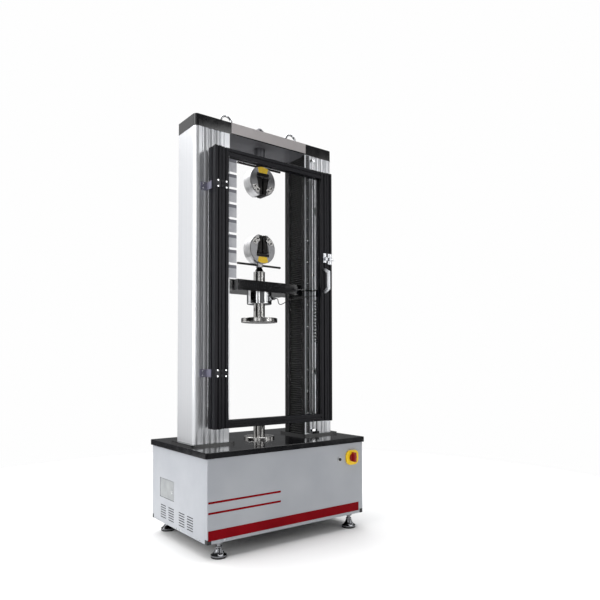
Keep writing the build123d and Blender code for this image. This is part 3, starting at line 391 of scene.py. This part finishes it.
# %% Pieces with two finishes
FACE_TOLERANCE = 0.3    # mm
CONE_FOOT = 1436        # mm, height of the lower grip's cone
STEM_COLLAR = 2075      # mm, height above which the upper grip's stem is painted like the beam
HUB_R = 20              # mm

bare_face = side_of("Z", "LESS_THAN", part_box("crosshead_beam")[0].z + FACE_TOLERANCE * MM)
beam_face = side_of("Z", "LESS_THAN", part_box("top_beam")[0].z + FACE_TOLERANCE * MM)
before_posts = side_of("Y", "LESS_THAN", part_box("guard_posts")[0].y)
cone = side_of("Z", "GREATER_THAN", CONE_FOOT * MM)
collar = side_of("Z", "GREATER_THAN", STEM_COLLAR * MM)

# Painted light: the crosshead's end faces, which look along X, get a pale grey for light they catch.
lit_end_enamel = second_colour("enamel_with_painted_light_ends", enamel, faces_along("X"), "C8C8CA")[0]
crosshead_paint, tree, shader, bare = second_colour("crosshead_enamel", lit_end_enamel, bare_face, "B4B4B2")
tree.links.new(bare, shader.inputs["Metallic"])
# The beam's underside, and the upper grip's stem above the collar, only get a lighter grey base colour.
beam_paint = second_colour("beam_enamel", enamel, beam_face, "6A6A6E")[0]
handle_steel = second_colour("blackened_steel_with_hub", blackened, close_to_middle(HUB_R * MM), "D8D8DA")[0]
stem_steel = second_colour("ground_steel_with_cone", ground, cone, "121212")[0]
collar_steel = second_colour("blackened_steel_with_collar", blackened, collar, "6A6A6E")[0]
leaf_paint = second_colour("bracket_paint_with_black_leaves", bracket_paint, before_posts, "15151C")[0]
grip_steel = second_colour("nickelled_steel_with_ground_faces", satin, faces_along("Y"), "8F8F91")[0]
TWO_TONE = {
    "upper_grip_body": grip_steel, "lower_grip_body": grip_steel,
    "crosshead_beam": crosshead_paint, "top_beam": beam_paint,
    "lower_grip_handle": handle_steel, "guard_brackets": leaf_paint,
    "lower_grip_stem": stem_steel, "upper_grip_stem": collar_steel,
}
print("pieces with two finishes:", len(TWO_TONE))

# %% Put the finishes on
finish_of = {name: surface for surface, names in DRESSED.items() for name in names} | TWO_TONE
for name, surface in finish_of.items():
    for material_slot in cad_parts[name].material_slots:
        material_slot.material = surface
print("dressed", len(finish_of), "CAD pieces")

# %% [markdown]
# ## The camera and the floor
# The camera stands where the photograph was taken from: low, to the left, looking a little up.
# The lens is shifted more than tilted, which keeps the columns nearly upright.

# %% Camera
EYE_POINT = (-1.7824, -2.7122, 0.9192)
YAW, PITCH, ROLL = 0.6523, 0.0339, -0.0016
FOCAL_PX, CENTRE_Y_PX, FRAME_PX = 574.53, 343.83, 600
SENSOR_WIDTH = 36       # mm

lens = bpy.data.cameras.new("studio_camera")
lens.sensor_width = SENSOR_WIDTH
lens.lens = FOCAL_PX / FRAME_PX * lens.sensor_width
lens.shift_y = (CENTRE_Y_PX - FRAME_PX / 2) / FRAME_PX
camera = bpy.data.objects.new("studio_camera", lens)
bpy.context.scene.collection.objects.link(camera)
turn = Matrix.Rotation(-YAW, 4, "Z") @ Matrix.Rotation(math.pi / 2 + PITCH, 4, "X")
turn = turn @ Matrix.Rotation(ROLL, 4, "Z")
camera.matrix_world = Matrix.Translation(EYE_POINT) @ turn
bpy.context.scene.camera = camera
print("camera focal length", round(lens.lens, 2), "mm")

# %% Floor
def linked(name, mesh):
    made = bpy.data.objects.new(name, mesh)
    bpy.context.scene.collection.objects.link(made)
    return made


FLOOR_R, FLOOR_STEPS = 3.0, 96      # metres, and straight sides of the round
floor_mesh = bpy.data.meshes.new("studio_floor")
angles = [2 * math.pi * i / FLOOR_STEPS for i in range(FLOOR_STEPS)]
rim = [(FLOOR_R * math.cos(a), FLOOR_R * math.sin(a), 0) for a in angles]
floor_mesh.from_pydata(rim, [], [list(range(FLOOR_STEPS))])
floor = linked("studio_floor", floor_mesh)
floor_paper = finish_named("floor_paper", "F4F4F4", 0.0, 0.6)[0]
floor.data.materials.append(floor_paper)
print("floor", 2 * FLOOR_R, "m across")

# %% [markdown]
# ## Light
# A softbox on the left lights the cabinet's side and leaves the front in a soft shade. A wide,
# dimmer one behind it shows in the bright sides of the columns. One overhead lights the floor
# and the tops. A dim panel on the left front rounds the columns' corners. Four tall strips, one
# beside the camera, two in front and one on the right, show as bright bands in the flutes,
# which is what makes polished extrusion look like metal.

# %% Softboxes
def softbox(name, where, aim, size, power):
    """An area lamp: its place, the point it looks at and its size in metres, and its watts."""
    light = bpy.data.lights.new(name, "AREA")
    light.shape = "RECTANGLE"
    light.size, light.size_y = size
    light.energy = power
    made = linked(name, light)
    made.location = where
    made.rotation_euler = (Vector(aim) - Vector(where)).to_track_quat("-Z", "Y").to_euler()


softbox("left_key", (-3.9, 0.2, 2.4), (0, 0, 1.5), (2.4, 3.4), 93)
softbox("left_front_panel", (-3.3, -1.9, 1.9), (0, 0, 1.4), (1.2, 3.4), 22)
softbox("left_fill", (-3.3, 2.9, 2.4), (0, 0, 1.6), (3.6, 4.6), 46)
softbox("top_softbox", (0.2, 1.6, 5.0), (0.2, 1.0, 0), (8.0, 6.0), 480)
softbox("near_strip", (-2.25, -3.3, 2.1), (-0.35, 0, 1.7), (0.4, 3.0), 12)
softbox("front_left_strip", (1.3, -3.1, 2.0), (-0.35, 0, 1.7), (0.45, 3.0), 17)
softbox("front_right_strip", (2.75, -3.1, 1.75), (0.3, 0, 1.5), (0.5, 3.4), 15)
softbox("right_strip", (4.1, -1.0, 1.75), (0.3, 0, 1.5), (0.8, 3.4), 24)
print("softboxes ready")

# %% World
ROOM_LIGHT = 0.16

world = bpy.data.worlds.new("studio")
bpy.context.scene.world = world
world.use_nodes = True
tree = world.node_tree
lit = tree.nodes["Background"]
lit.inputs["Color"].default_value = linear("F4F5F7")
lit.inputs["Strength"].default_value = ROOM_LIGHT
seen = add(tree, "ShaderNodeBackground", {"Color": linear("FEFEFE"), "Strength": 1.0})
direct = add(tree, "ShaderNodeLightPath").outputs["Is Camera Ray"]
skies = {0: direct, 1: lit.outputs["Background"], 2: seen.outputs["Background"]}
sky = add(tree, "ShaderNodeMixShader", skies).outputs["Shader"]
tree.links.new(sky, tree.nodes["World Output"].inputs["Surface"])
bpy.context.scene.view_settings.view_transform = "Standard"
print("room light", ROOM_LIGHT)

# %% [markdown]
# ## Ways to make small pieces
# Most trim is a plate with eased edges or a turned part. Both are made as closed meshes: the
# plate from a box whose edges are bevelled, and the turned part by spinning a profile.

# %% Plates
SHARP = 1.2             # radians between two faces, above which their edge is eased


def piece(name, mesh, body, surface, smooth=False):
    """A mesh of the object's own, with its finish, riding on a CAD body."""
    for polygon in mesh.polygons:
        polygon.use_smooth = smooth
    mesh.materials.append(surface)
    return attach(linked(name, mesh), body)


def into_mesh(name, work):
    bmesh.ops.recalc_face_normals(work, faces=work.faces)
    mesh = bpy.data.meshes.new(name)
    work.to_mesh(mesh)
    work.free()
    return mesh


def add_plate(work, low, high, ease, corner=0, axis=1):
    """A box between two corners in mm, with rounded corners about one axis and eased edges."""
    made = bmesh.ops.create_cube(work, size=1)["verts"]
    middle = [(a + b) / 2 * MM for a, b in zip(low, high)]
    size = [(b - a) * MM for a, b in zip(low, high)]
    bmesh.ops.scale(work, vec=size, verts=made)
    bmesh.ops.translate(work, vec=middle, verts=made)
    edges = list({e for v in made for e in v.link_edges})
    if corner:
        along = [e for e in edges if abs((e.verts[0].co - e.verts[1].co)[axis]) > 1e-9]
        out = bmesh.ops.bevel(work, geom=along, offset=corner * MM, segments=6, affect="EDGES", profile=0.5)
        near = {e for f in out["faces"] for e in f.edges}
        near |= {e for v in made if v.is_valid for e in v.link_edges}
        edges = [e for e in near if e.is_valid and len(e.link_faces) == 2 and e.calc_face_angle() > SHARP]
    bmesh.ops.bevel(work, geom=edges, offset=ease * MM, segments=2, affect="EDGES", profile=0.5)


print("plates ready")

# %% Turned parts and screws
FRONT, REAR, LEFT, RIGHT = (0, -1, 0), (0, 1, 0), (-1, 0, 0), (1, 0, 0)
SCREW_STEPS = 20


def add_turned(work, profile, place, steps=24):
    """A turned part from (radius, height) points in mm, spun about the local Z of place."""
    rings = []
    for radius, height in profile:
        if radius == 0:
            rings.append([work.verts.new(place @ Vector((0, 0, height * MM)))])
            continue
        angles = [2 * math.pi * i / steps for i in range(steps)]
        ring = [(radius * MM * math.cos(a), radius * MM * math.sin(a), height * MM) for a in angles]
        rings.append([work.verts.new(place @ Vector(point)) for point in ring])
    for low, high in zip(rings, rings[1:]):
        for i in range(steps):
            j = (i + 1) % steps
            if len(low) == 1:
                work.faces.new((low[0], high[j], high[i]))
            elif len(high) == 1:
                work.faces.new((low[i], low[j], high[0]))
            else:
                work.faces.new((low[i], low[j], high[j], high[i]))


def facing(point, direction):
    """A placement in mm whose local Z looks along direction."""
    turn = Vector(direction).to_track_quat("Z", "Y").to_matrix().to_4x4()
    return Matrix.Translation(Vector(point) * MM) @ turn


def screws(name, heads, direction, radius, body, surface, socket=True):
    """Screws whose heads stand on the given points, with a socket or a low dome."""
    height = radius * 0.62
    profile = [(0, 0), (radius, 0), (radius, height * 0.75), (radius * 0.86, height)]
    if socket:
        profile += [(radius * 0.5, height), (radius * 0.47, height * 0.35), (0, height * 0.35)]
    else:
        profile += [(radius * 0.4, height * 1.15), (0, height * 1.2)]
    work = bmesh.new()
    for point in heads:
        add_turned(work, profile, facing(point, direction), SCREW_STEPS)
    made = piece(name, into_mesh(name, work), body, surface)
    return made


print("turned parts and screws ready")

# %% [markdown]
# ## Red stripes on the cabinet
# The stripes are cut from self-adhesive vinyl. Film of 0.3 mm still has an edge that catches
# light, so each stripe is a thin plate on the sheet and not a painted patch.

# %% Vinyl stripes
sheet_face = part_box("cabinet_front")[0].y / MM
FILM, FILM_EASE = 0.3, 0.08
STRIPE_START, STRIPE_END, BAND_END = -489, -75, 462
work = bmesh.new()
for end, foot, top in ((STRIPE_END, 264, 274), (STRIPE_END, 215, 225), (BAND_END, 93, 140)):
    add_plate(work, (STRIPE_START, sheet_face - FILM, foot), (end, sheet_face, top), FILM_EASE)
stripes = piece("cabinet_stripes", into_mesh("cabinet_stripes", work), "stand", red_film)
print("stripes on the sheet at y", round(sheet_face, 1), "mm")

# %% [markdown]
# ## The load cell's lead
# A thin screened lead leaves the cell's connector, sags a little and is clipped to the striker
# arm beside the column. A curve with a few control points hangs more naturally than straight
# runs, so the route is one NURBS line with a round bevel.

# %% The lead to the clip
LEAD_R = 2.25
LEAD_ROUTE = [
    (57.4, -81.9, 1282), (61.4, -87.6, 1282), (63.5, -92.5, 1276.5), (63, -95.5, 1266), (63.5, -98, 1256),
    (68, -100.5, 1249), (76, -102.5, 1247.5), (86, -104.5, 1251), (98, -106.5, 1258.5), (120, -110.5, 1270),
    (150, -116, 1281), (182, -122, 1289.5), (214, -127.5, 1296), (250, -132, 1302.5),
    (282, -136, 1307.5), (303, -136.5, 1309), (319, -136.5, 1309), (327.5, -133.5, 1308.5),
    (331, -127, 1307.5), (330.5, -120.5, 1304.5), (329, -117, 1300), (329, -117, 1294),
]


def nurbs_curve(name, points, radius, steps):
    """A curve object whose round line is pulled towards the given points, in mm."""
    data = bpy.data.curves.new(name, "CURVE")
    data.dimensions = "3D"
    data.resolution_u = steps
    line = data.splines.new("NURBS")
    line.points.add(len(points) - 1)
    for knot, point in zip(line.points, points):
        knot.co = (*[v * MM for v in point], 1)
    line.order_u = 3
    line.use_endpoint_u = True
    data.bevel_depth = radius * MM
    data.bevel_resolution = 4
    data.use_fill_caps = True
    return linked(name, data)


def tube_of(curve):
    """The curve's surface as a mesh, and the points that its line runs through."""
    graph = bpy.context.evaluated_depsgraph_get()
    tube = bpy.data.meshes.new_from_object(curve.evaluated_get(graph))
    depth, curve.data.bevel_depth = curve.data.bevel_depth, 0
    bpy.context.view_layer.update()
    graph = bpy.context.evaluated_depsgraph_get()
    line = bpy.data.meshes.new_from_object(curve.evaluated_get(graph))
    path = [tuple(v.co) for v in line.vertices]
    curve.data.bevel_depth = depth
    return tube, path


def length_of(path):
    return sum((Vector(b) - Vector(a)).length for a, b in zip(path, path[1:]))


cell_lead = nurbs_curve("cell_lead", LEAD_ROUTE, LEAD_R, 8)
cell_lead.data.materials.append(sheath)
cell_path = tube_of(cell_lead)[1]
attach(cell_lead, "crosshead")
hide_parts("load_cell_lead")
print("cell lead", round(length_of(cell_path), 3), "m")

# %% [markdown]
# ## The curly stretch
# From the clip the lead hangs as a curly cord, so that it can follow the crosshead, and its
# straight tail goes down to a gland at the foot of the column. The turns are points of the
# line itself, and the tube runs from the clip at its top to the gland at its foot.

# %% The curl and its tail
COIL_AXIS = (320, -115)
COIL_TURNS, COIL_RADIUS = 13, 10.75
COIL_TOP, COIL_BOTTOM, GLAND_TOP = 1294, 1036, 540
POINTS_A_TURN = 14

coil_route = [LEAD_ROUTE[-1]]
start_x, start_y = LEAD_ROUTE[-1][0] - COIL_AXIS[0], LEAD_ROUTE[-1][1] - COIL_AXIS[1]
first_radius, first_angle = math.hypot(start_x, start_y), math.atan2(start_y, start_x)
count = COIL_TURNS * POINTS_A_TURN
for i in range(1, count + 1):
    grow = min(1, i / POINTS_A_TURN)
    shrink = min(1, (count - i) / (POINTS_A_TURN / 2))
    radius = (first_radius + (COIL_RADIUS - first_radius) * grow) * math.sin(shrink * math.pi / 2)
    angle = first_angle + 2 * math.pi * i / POINTS_A_TURN
    height = COIL_TOP - 4 - (COIL_TOP - 4 - COIL_BOTTOM) * i / count
    x, y = COIL_AXIS[0] + radius * math.cos(angle), COIL_AXIS[1] + radius * math.sin(angle)
    coil_route.append((x, y, height))
coil_route += [(*COIL_AXIS, height) for height in (COIL_BOTTOM - 12, 900, 720, GLAND_TOP)]
guide = nurbs_curve("curl_guide", coil_route, LEAD_R, 6)
curl_mesh, curl_path = tube_of(guide)
bpy.data.objects.remove(guide)
curl = linked("curly_lead", curl_mesh)
for polygon in curl_mesh.polygons:
    polygon.use_smooth = True
curl_mesh.materials.clear()
curl_mesh.materials.append(sheath)
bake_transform(curl)
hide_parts("lead_coil")
print("curly lead", round(length_of(curl_path), 3), "m in", COIL_TURNS, "turns and a tail")

# %% [markdown]
# ## Pleated covers in the column mouths
# Coated cloth is folded like an accordion, so that it closes the column above and below the
# crosshead at any height. Each cover is a thin sheet with rounded folds, made between the
# stand's end of the column and the crosshead's present height.

# %% Pleated covers
PLEAT, FOLD_DEPTH, CLOTH = 13.0, 10.0, 0.9
STEPS_A_PLEAT = 8
COVER_NEAR, COVER_HALF = 262.5, 68.0
cover_cloth, tree, shader, place = finish_named("coated_cloth", "080809", 0.0, 0.7)
shader.inputs["Sheen Weight"].default_value = 0.05
tree.links.new(spread(tree, grain(tree, place, 8), 0.6, 0.8), shader.inputs["Roughness"])
bumped(tree, shader, grain(tree, place, 0.9), 0.03)


def pleated_cover(name, side, low, high):
    """A folded sheet between two heights, on one side of the machine."""
    steps = round((high - low) / PLEAT) * STEPS_A_PLEAT
    line = []
    for i in range(steps + 1):
        turn = i / STEPS_A_PLEAT * 2 * math.pi
        wave = 0.5 - 0.5 * (0.86 * math.cos(turn) + 0.14 * math.cos(3 * turn))
        line.append((COVER_NEAR + FOLD_DEPTH * wave, low + (high - low) * i / steps))
    flat = sum(math.dist(a, b) for a, b in zip(line, line[1:]))
    points, faces = [], []
    for x, z in line:
        for layer in (0, CLOTH):
            points += [(side * (x + layer) * MM, y * MM, z * MM) for y in (-COVER_HALF, COVER_HALF)]
    for i in range(steps):
        a, b = 4 * i, 4 * i + 4
        for p, q in ((0, 1), (1, 3), (3, 2), (2, 0)):
            faces.append((a + p, a + q, b + q, b + p))
    faces += [(0, 2, 3, 1), (4 * steps, 4 * steps + 1, 4 * steps + 3, 4 * steps + 2)]
    mesh = bpy.data.meshes.new(name)
    mesh.from_pydata(points, [], faces)
    work = bmesh.new()
    work.from_mesh(mesh)
    bmesh.ops.recalc_face_normals(work, faces=work.faces)
    work.to_mesh(mesh)
    work.free()
    mesh.materials.append(cover_cloth)
    return linked(name, mesh), flat


foot_z, top_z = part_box("lower_bellows")[0].z / MM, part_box("upper_bellows")[1].z / MM
under_z, over_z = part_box("crosshead_beam")[0].z / MM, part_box("crosshead_beam")[1].z / MM
for level, still, moving in (("lower", foot_z, under_z), ("upper", top_z, over_z)):
    for word, side in (("left", -1), ("right", 1)):
        cover, flat = pleated_cover(f"{level}_{word}_cover", side, min(still, moving), max(still, moving))
        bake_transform(cover)
        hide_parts(f"{level}_bellows")
    print(level, "covers, flat length", round(flat), "mm")

# %% [markdown]
# ## Bare plates, rule and hatch
# Eight thin plates stand in a column on the clear panel. They stay bare, with a darker band
# along each top. The black strip on the right column is a rule, with a graduation every ten
# millimetres and a screw every hundred and twenty-five. The hatch on the left side is a grey
# door in a recess. A dark sheet behind the vents is painted shade: no light shows through them.

# %% Bare plates on the panel
panel_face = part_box("door_panel")[0].y / MM
label_film, tree, shader, place = finish_named("pale_label_film", "B9BABF", 0.0, 0.42)
tinted(tree, shader, spread(tree, grain(tree, place, 26), 0, 1), "B2B3B9", "C2C3C7")
bumped(tree, shader, grain(tree, place, 1.5), 0.015)
LABELS, LABEL_TOP, LABEL_PITCH, LABEL_HEIGHT, LABEL_HEADER = 8, 1975, 78.5, 67, 17
LABEL_LEFT, LABEL_RIGHT, LABEL_THICK = -302, -250, 0.5
height = add(tree, "ShaderNodeSeparateXYZ", {"Vector": place}).outputs["Z"]
down = {0: height, 1: -1 / (LABEL_PITCH * MM), 2: LABEL_TOP / LABEL_PITCH}
rows = add(tree, "ShaderNodeMath", down, operation="MULTIPLY_ADD").outputs["Value"]
share = add(tree, "ShaderNodeMath", {0: rows}, operation="FRACT").outputs["Value"]
in_header = {0: share, 1: LABEL_HEADER / LABEL_PITCH}
header = add(tree, "ShaderNodeMath", in_header, operation="LESS_THAN").outputs["Value"]
repainted(tree, shader, header, "6F7078")
work = bmesh.new()
for row in range(LABELS):
    high = LABEL_TOP - row * LABEL_PITCH
    foot = (LABEL_LEFT, panel_face - LABEL_THICK, high - LABEL_HEIGHT)
    add_plate(work, foot, (LABEL_RIGHT, panel_face, high), 0.1, corner=3)
label_plates = piece("panel_plates", into_mesh("panel_plates", work), "guard_door", label_film)
print("bare plates:", LABELS)

# %% The rule on the right column
RULE_LEFT, RULE_RIGHT, RULE_THICK, RULE_END = 261, 282, 1.2, 2
GRADUATION, LINE_SHARE, LINE_LEFT, LINE_RIGHT = 10, 0.16, 265, 272
RULE_SCREWS, RULE_SCREW_R, FIRST_SCREW, SCREW_PITCH = 12, 3.6, 632, 125
column_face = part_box("column_covers")[0].y / MM
column_low, column_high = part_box("column_covers")[0].z / MM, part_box("column_covers")[1].z / MM
rule_black, tree, shader, place = finish_named("printed_rule", "141416", 0.0, 0.3)
axes = add(tree, "ShaderNodeSeparateXYZ", {"Vector": place}).outputs
tens = add(tree, "ShaderNodeMath", {0: axes["Z"], 1: 1 / (GRADUATION * MM)}, operation="MULTIPLY")
part = add(tree, "ShaderNodeMath", {0: tens.outputs["Value"]}, operation="FRACT").outputs["Value"]
line_here = add(tree, "ShaderNodeMath", {0: part, 1: LINE_SHARE}, operation="LESS_THAN").outputs["Value"]
left_end = add(tree, "ShaderNodeMath", {0: axes["X"], 1: LINE_LEFT * MM}, operation="GREATER_THAN")
right_end = add(tree, "ShaderNodeMath", {0: axes["X"], 1: LINE_RIGHT * MM}, operation="LESS_THAN")
ends = {0: left_end.outputs["Value"], 1: right_end.outputs["Value"]}
across = add(tree, "ShaderNodeMath", ends, operation="MULTIPLY").outputs["Value"]
printed = add(tree, "ShaderNodeMath", {0: line_here, 1: across}, operation="MULTIPLY").outputs["Value"]
tinted(tree, shader, printed, "141416", "C9CACC")
work = bmesh.new()
rule_front = column_face - RULE_THICK
rule_top = (RULE_RIGHT, column_face, column_high - RULE_END)
add_plate(work, (RULE_LEFT, rule_front, column_low + RULE_END), rule_top, 0.3)
scale_rule = piece("scale_rule", into_mesh("scale_rule", work), "stand", rule_black)
rule_middle = (RULE_LEFT + RULE_RIGHT) / 2
rule_screws = [(rule_middle, rule_front, FIRST_SCREW + SCREW_PITCH * i) for i in range(RULE_SCREWS)]
screws("rule_screws", rule_screws, FRONT, RULE_SCREW_R, "stand", chrome, socket=False)
print("rule", round(column_high - column_low), "mm long with", RULE_SCREWS, "screws")

# %% The hatch
side_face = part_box("cabinet_sides")[0].x / MM
HATCH_IN, HATCH_BACK = 0.8, 2           # mm behind the side's face
HATCH_FRONT, HATCH_REAR, HATCH_LOW, HATCH_HIGH = 43, 211, 212, 309
LOCK_Y, LOCK_Z = 65, 254
hatch_grey, tree, shader, place = finish_named("hatch_grey_paint", "8F9294", 0.0, 0.4)
tinted(tree, shader, spread(tree, grain(tree, place, 70), 0, 1), "85888A", "9A9D9E")
bumped(tree, shader, grain(tree, place, 2.2), 0.03)
work = bmesh.new()
low = (side_face + HATCH_IN, HATCH_FRONT, HATCH_LOW)
high = (side_face + HATCH_BACK, HATCH_REAR, HATCH_HIGH)
add_plate(work, low, high, 0.4, corner=4, axis=0)
hatch = piece("hatch_door", into_mesh("hatch_door", work), "stand", hatch_grey)
work = bmesh.new()
lock = [(0, 0), (7, 0), (7, 1.6), (6, 2.2), (2.4, 2.2), (2.2, 0.8), (0, 0.8)]
add_turned(work, lock, facing((side_face + HATCH_IN, LOCK_Y, LOCK_Z), LEFT))
hatch_lock = piece("hatch_lock", into_mesh("hatch_lock", work), "stand", chrome)
print("hatch", HATCH_REAR - HATCH_FRONT, "by", HATCH_HIGH - HATCH_LOW, "mm")

# %% Dark sheets as painted shade behind the vents, and the cabinet's screws
# Painted shade: a dark sheet behind each side's vents stands in for the unlit inside of the cabinet.
SHADE_OUT, SHADE_THICK, SHADE_HALF, SHADE_LOW, SHADE_HIGH = -side_face - 2.1, 1.4, 208, 98, 178
SIDE_SCREW_R, SIDE_SCREW_Z, SIDE_SCREW_YS = 4.2, 84, (265, 232, 9, -26, -246)
KICK_SCREW_R, KICK_SCREW_Z, KICK_SCREW_XS, KICK_IN = 3.6, 88, (-400, -150, 130, 400), 2
work = bmesh.new()
for side in (-1, 1):
    low, high = sorted((side * SHADE_OUT, side * (SHADE_OUT - SHADE_THICK)))
    add_plate(work, (low, -SHADE_HALF, SHADE_LOW), (high, SHADE_HALF, SHADE_HIGH), 0.2)
vent_shade_sheets = piece("vent_shade_backing", into_mesh("vent_shade_backing", work), "stand", rubber)
side_heads = [(side_face, y, SIDE_SCREW_Z) for y in SIDE_SCREW_YS]
right_heads = [(-x, y, z) for x, y, z in side_heads]
kick_heads = [(x, sheet_face + KICK_IN, KICK_SCREW_Z) for x in KICK_SCREW_XS]
rear_heads = [(x, -y, z) for x, y, z in kick_heads]
screws("side_screws", side_heads, LEFT, SIDE_SCREW_R, "stand", chrome)
screws("right_side_screws", right_heads, RIGHT, SIDE_SCREW_R, "stand", chrome)
screws("kick_screws", kick_heads, FRONT, KICK_SCREW_R, "stand", chrome)
screws("rear_kick_screws", rear_heads, REAR, KICK_SCREW_R, "stand", chrome)
print("filter mats and", 2 * len(side_heads) + 2 * len(kick_heads), "cabinet screws")

# %% [markdown]
# ## The grips' faces
# Each grip is a turned steel disc with a wedge window. Beside its mouth, two curved plates
# keep the jaws in, held by cap screws. A dark stop plate lies over the window's closed end,
# and a plain yellow plate between it and the rim.

# %% Keeper plates, screws and the yellow plate
GRIP_FACE = 37.0
UPPER_GRIP_Z, LOWER_GRIP_Z = 1946, 1562
PLATE_IN, PLATE_OUT, PLATE_FROM, PLATE_TO = 50, 79, 24, 66
PLATE_RISE, PLATE_SCREWS, PLATE_SCREW_R = 3, (34, 56), 5
STOP_HALF, STOP_LOW, STOP_HIGH, STOP_THICK = 41, 27, 44.5, 1
PATCH_R, PATCH_HALF_ANGLE, PATCH_INNER_HALF, PATCH_LOW, PATCH_THICK = 80, 26, 27, 45, 0.5


def add_slab(work, outline, back_y, front_y):
    """A closed plate from an outline of (x, z) points in mm; gives its front face."""
    back = [work.verts.new((x * MM, back_y * MM, z * MM)) for x, z in outline]
    front = [work.verts.new((x * MM, front_y * MM, z * MM)) for x, z in outline]
    work.faces.new(back)
    cap = work.faces.new(front)
    for i in range(len(outline)):
        j = (i + 1) % len(outline)
        work.faces.new((back[i], back[j], front[j], front[i]))
    return cap


def add_sector(work, centre_z, mouth, side, face):
    """A curved plate beside a grip's mouth, on one face; angles count from the mouth."""
    steps = 10
    angles = [math.radians(PLATE_FROM + (PLATE_TO - PLATE_FROM) * i / steps) for i in range(steps + 1)]
    rim = [(PLATE_OUT, a) for a in angles] + [(PLATE_IN, a) for a in reversed(angles)]
    outline = [(side * r * math.sin(a), centre_z + mouth * r * math.cos(a)) for r, a in rim]
    cap = add_slab(work, outline, face * GRIP_FACE, face * (GRIP_FACE + PLATE_RISE))
    bmesh.ops.bevel(work, geom=list(cap.edges), offset=0.8 * MM, segments=2, affect="EDGES", profile=0.5)


def grip_trim(level, centre_z, mouth, body):
    """The plates and screws on both faces of a grip, whose mouth points up (1) or down (-1)."""
    plates = bmesh.new()
    heads = {-1: [], 1: []}
    for face in (-1, 1):
        for side in (-1, 1):
            add_sector(plates, centre_z, mouth, side, face)
            for angle in PLATE_SCREWS:
                a = math.radians(angle)
                r = (PLATE_IN + PLATE_OUT) / 2
                x, z = side * r * math.sin(a), centre_z + mouth * r * math.cos(a)
                heads[face].append((x, face * (GRIP_FACE + PLATE_RISE), z))
    made = piece(f"{level}_grip_plates", into_mesh(f"{level}_grip_plates", plates), body, ground)
    screws(f"{level}_grip_screws", heads[-1], FRONT, PLATE_SCREW_R, body, blackened)
    screws(f"{level}_grip_rear_screws", heads[1], REAR, PLATE_SCREW_R, body, blackened)
    work = bmesh.new()
    arc = [math.radians(PATCH_HALF_ANGLE * (1 - i / 6)) for i in range(13)]
    outline = [(-PATCH_INNER_HALF, PATCH_LOW), (PATCH_INNER_HALF, PATCH_LOW)]
    outline += [(PATCH_R * math.sin(a), PATCH_R * math.cos(a)) for a in arc]
    outline = [(x, centre_z - mouth * z) for x, z in outline]
    add_slab(work, outline, -GRIP_FACE, -GRIP_FACE - PATCH_THICK)
    patch = piece(f"{level}_grip_patch", into_mesh(f"{level}_grip_patch", work), body, yellow_plastic)
    work = bmesh.new()
    for face in (-1, 1):
        low, high = sorted((face * GRIP_FACE, face * (GRIP_FACE + STOP_THICK)))
        ends = sorted((centre_z - mouth * STOP_LOW, centre_z - mouth * STOP_HIGH))
        add_plate(work, (-STOP_HALF, low, ends[0]), (STOP_HALF, high, ends[1]), 0.3)
    stop = piece(f"{level}_grip_stop_plates", into_mesh(f"{level}_grip_stop_plates", work), body, jaw_steel)


grip_trim("upper", UPPER_GRIP_Z, -1, "stand")
grip_trim("lower", LOWER_GRIP_Z, 1, "crosshead")
print("grip trim: 2 plates and 4 screws a face")

# %% [markdown]
# ## Screws of the guard
# The hinges, the bolt's keeper and guide, the handle and the brackets are each held by two
# cap screws, which show as bright dots on the black profiles.

# %% Guard screws
GUARD_SCREW_R, LEAF_THICK, HANDLE_FOOT, BRACKET_THICK = 4.4, 3, 5, 4
HINGE_ZS, LEAF_RISE, BRACKET_X, BRACKET_RISE = (870, 1828), 15, 407, 11
POST_LEAF_X, DOOR_LEAF_X, GUIDE_X, GUIDE_ZS = -370, -322, 370, (1499, 1541)
KEEPER_X, KEEPER_ZS, HANDLE_Z, HANDLE_RISE = 328, (1541, 1503), 1393, 66
guard_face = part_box("door_frame")[0].y / MM
leaf_y, handle_y, bracket_y = guard_face - LEAF_THICK, guard_face - HANDLE_FOOT, column_face - BRACKET_THICK
post_heads = [(POST_LEAF_X, leaf_y, z + dz) for z in HINGE_ZS for dz in (-LEAF_RISE, LEAF_RISE)]
post_heads += [(GUIDE_X, leaf_y, z) for z in GUIDE_ZS]
door_heads = [(DOOR_LEAF_X, leaf_y, z + dz) for z in HINGE_ZS for dz in (-LEAF_RISE, LEAF_RISE)]
door_heads += [(KEEPER_X, leaf_y, z) for z in KEEPER_ZS]
door_heads += [(KEEPER_X, handle_y, HANDLE_Z + dz) for dz in (-HANDLE_RISE, HANDLE_RISE)]
bracket_heads = [
    (side * BRACKET_X, bracket_y, z + dz)
    for side in (-1, 1) for z in HINGE_ZS for dz in (-BRACKET_RISE, BRACKET_RISE)
]
screws("post_screws", post_heads, FRONT, GUARD_SCREW_R, "stand", chrome)
screws("door_screws", door_heads, FRONT, GUARD_SCREW_R, "guard_door", chrome)
screws("bracket_screws", bracket_heads, FRONT, GUARD_SCREW_R, "stand", chrome)
print("guard screws:", len(post_heads) + len(door_heads) + len(bracket_heads))
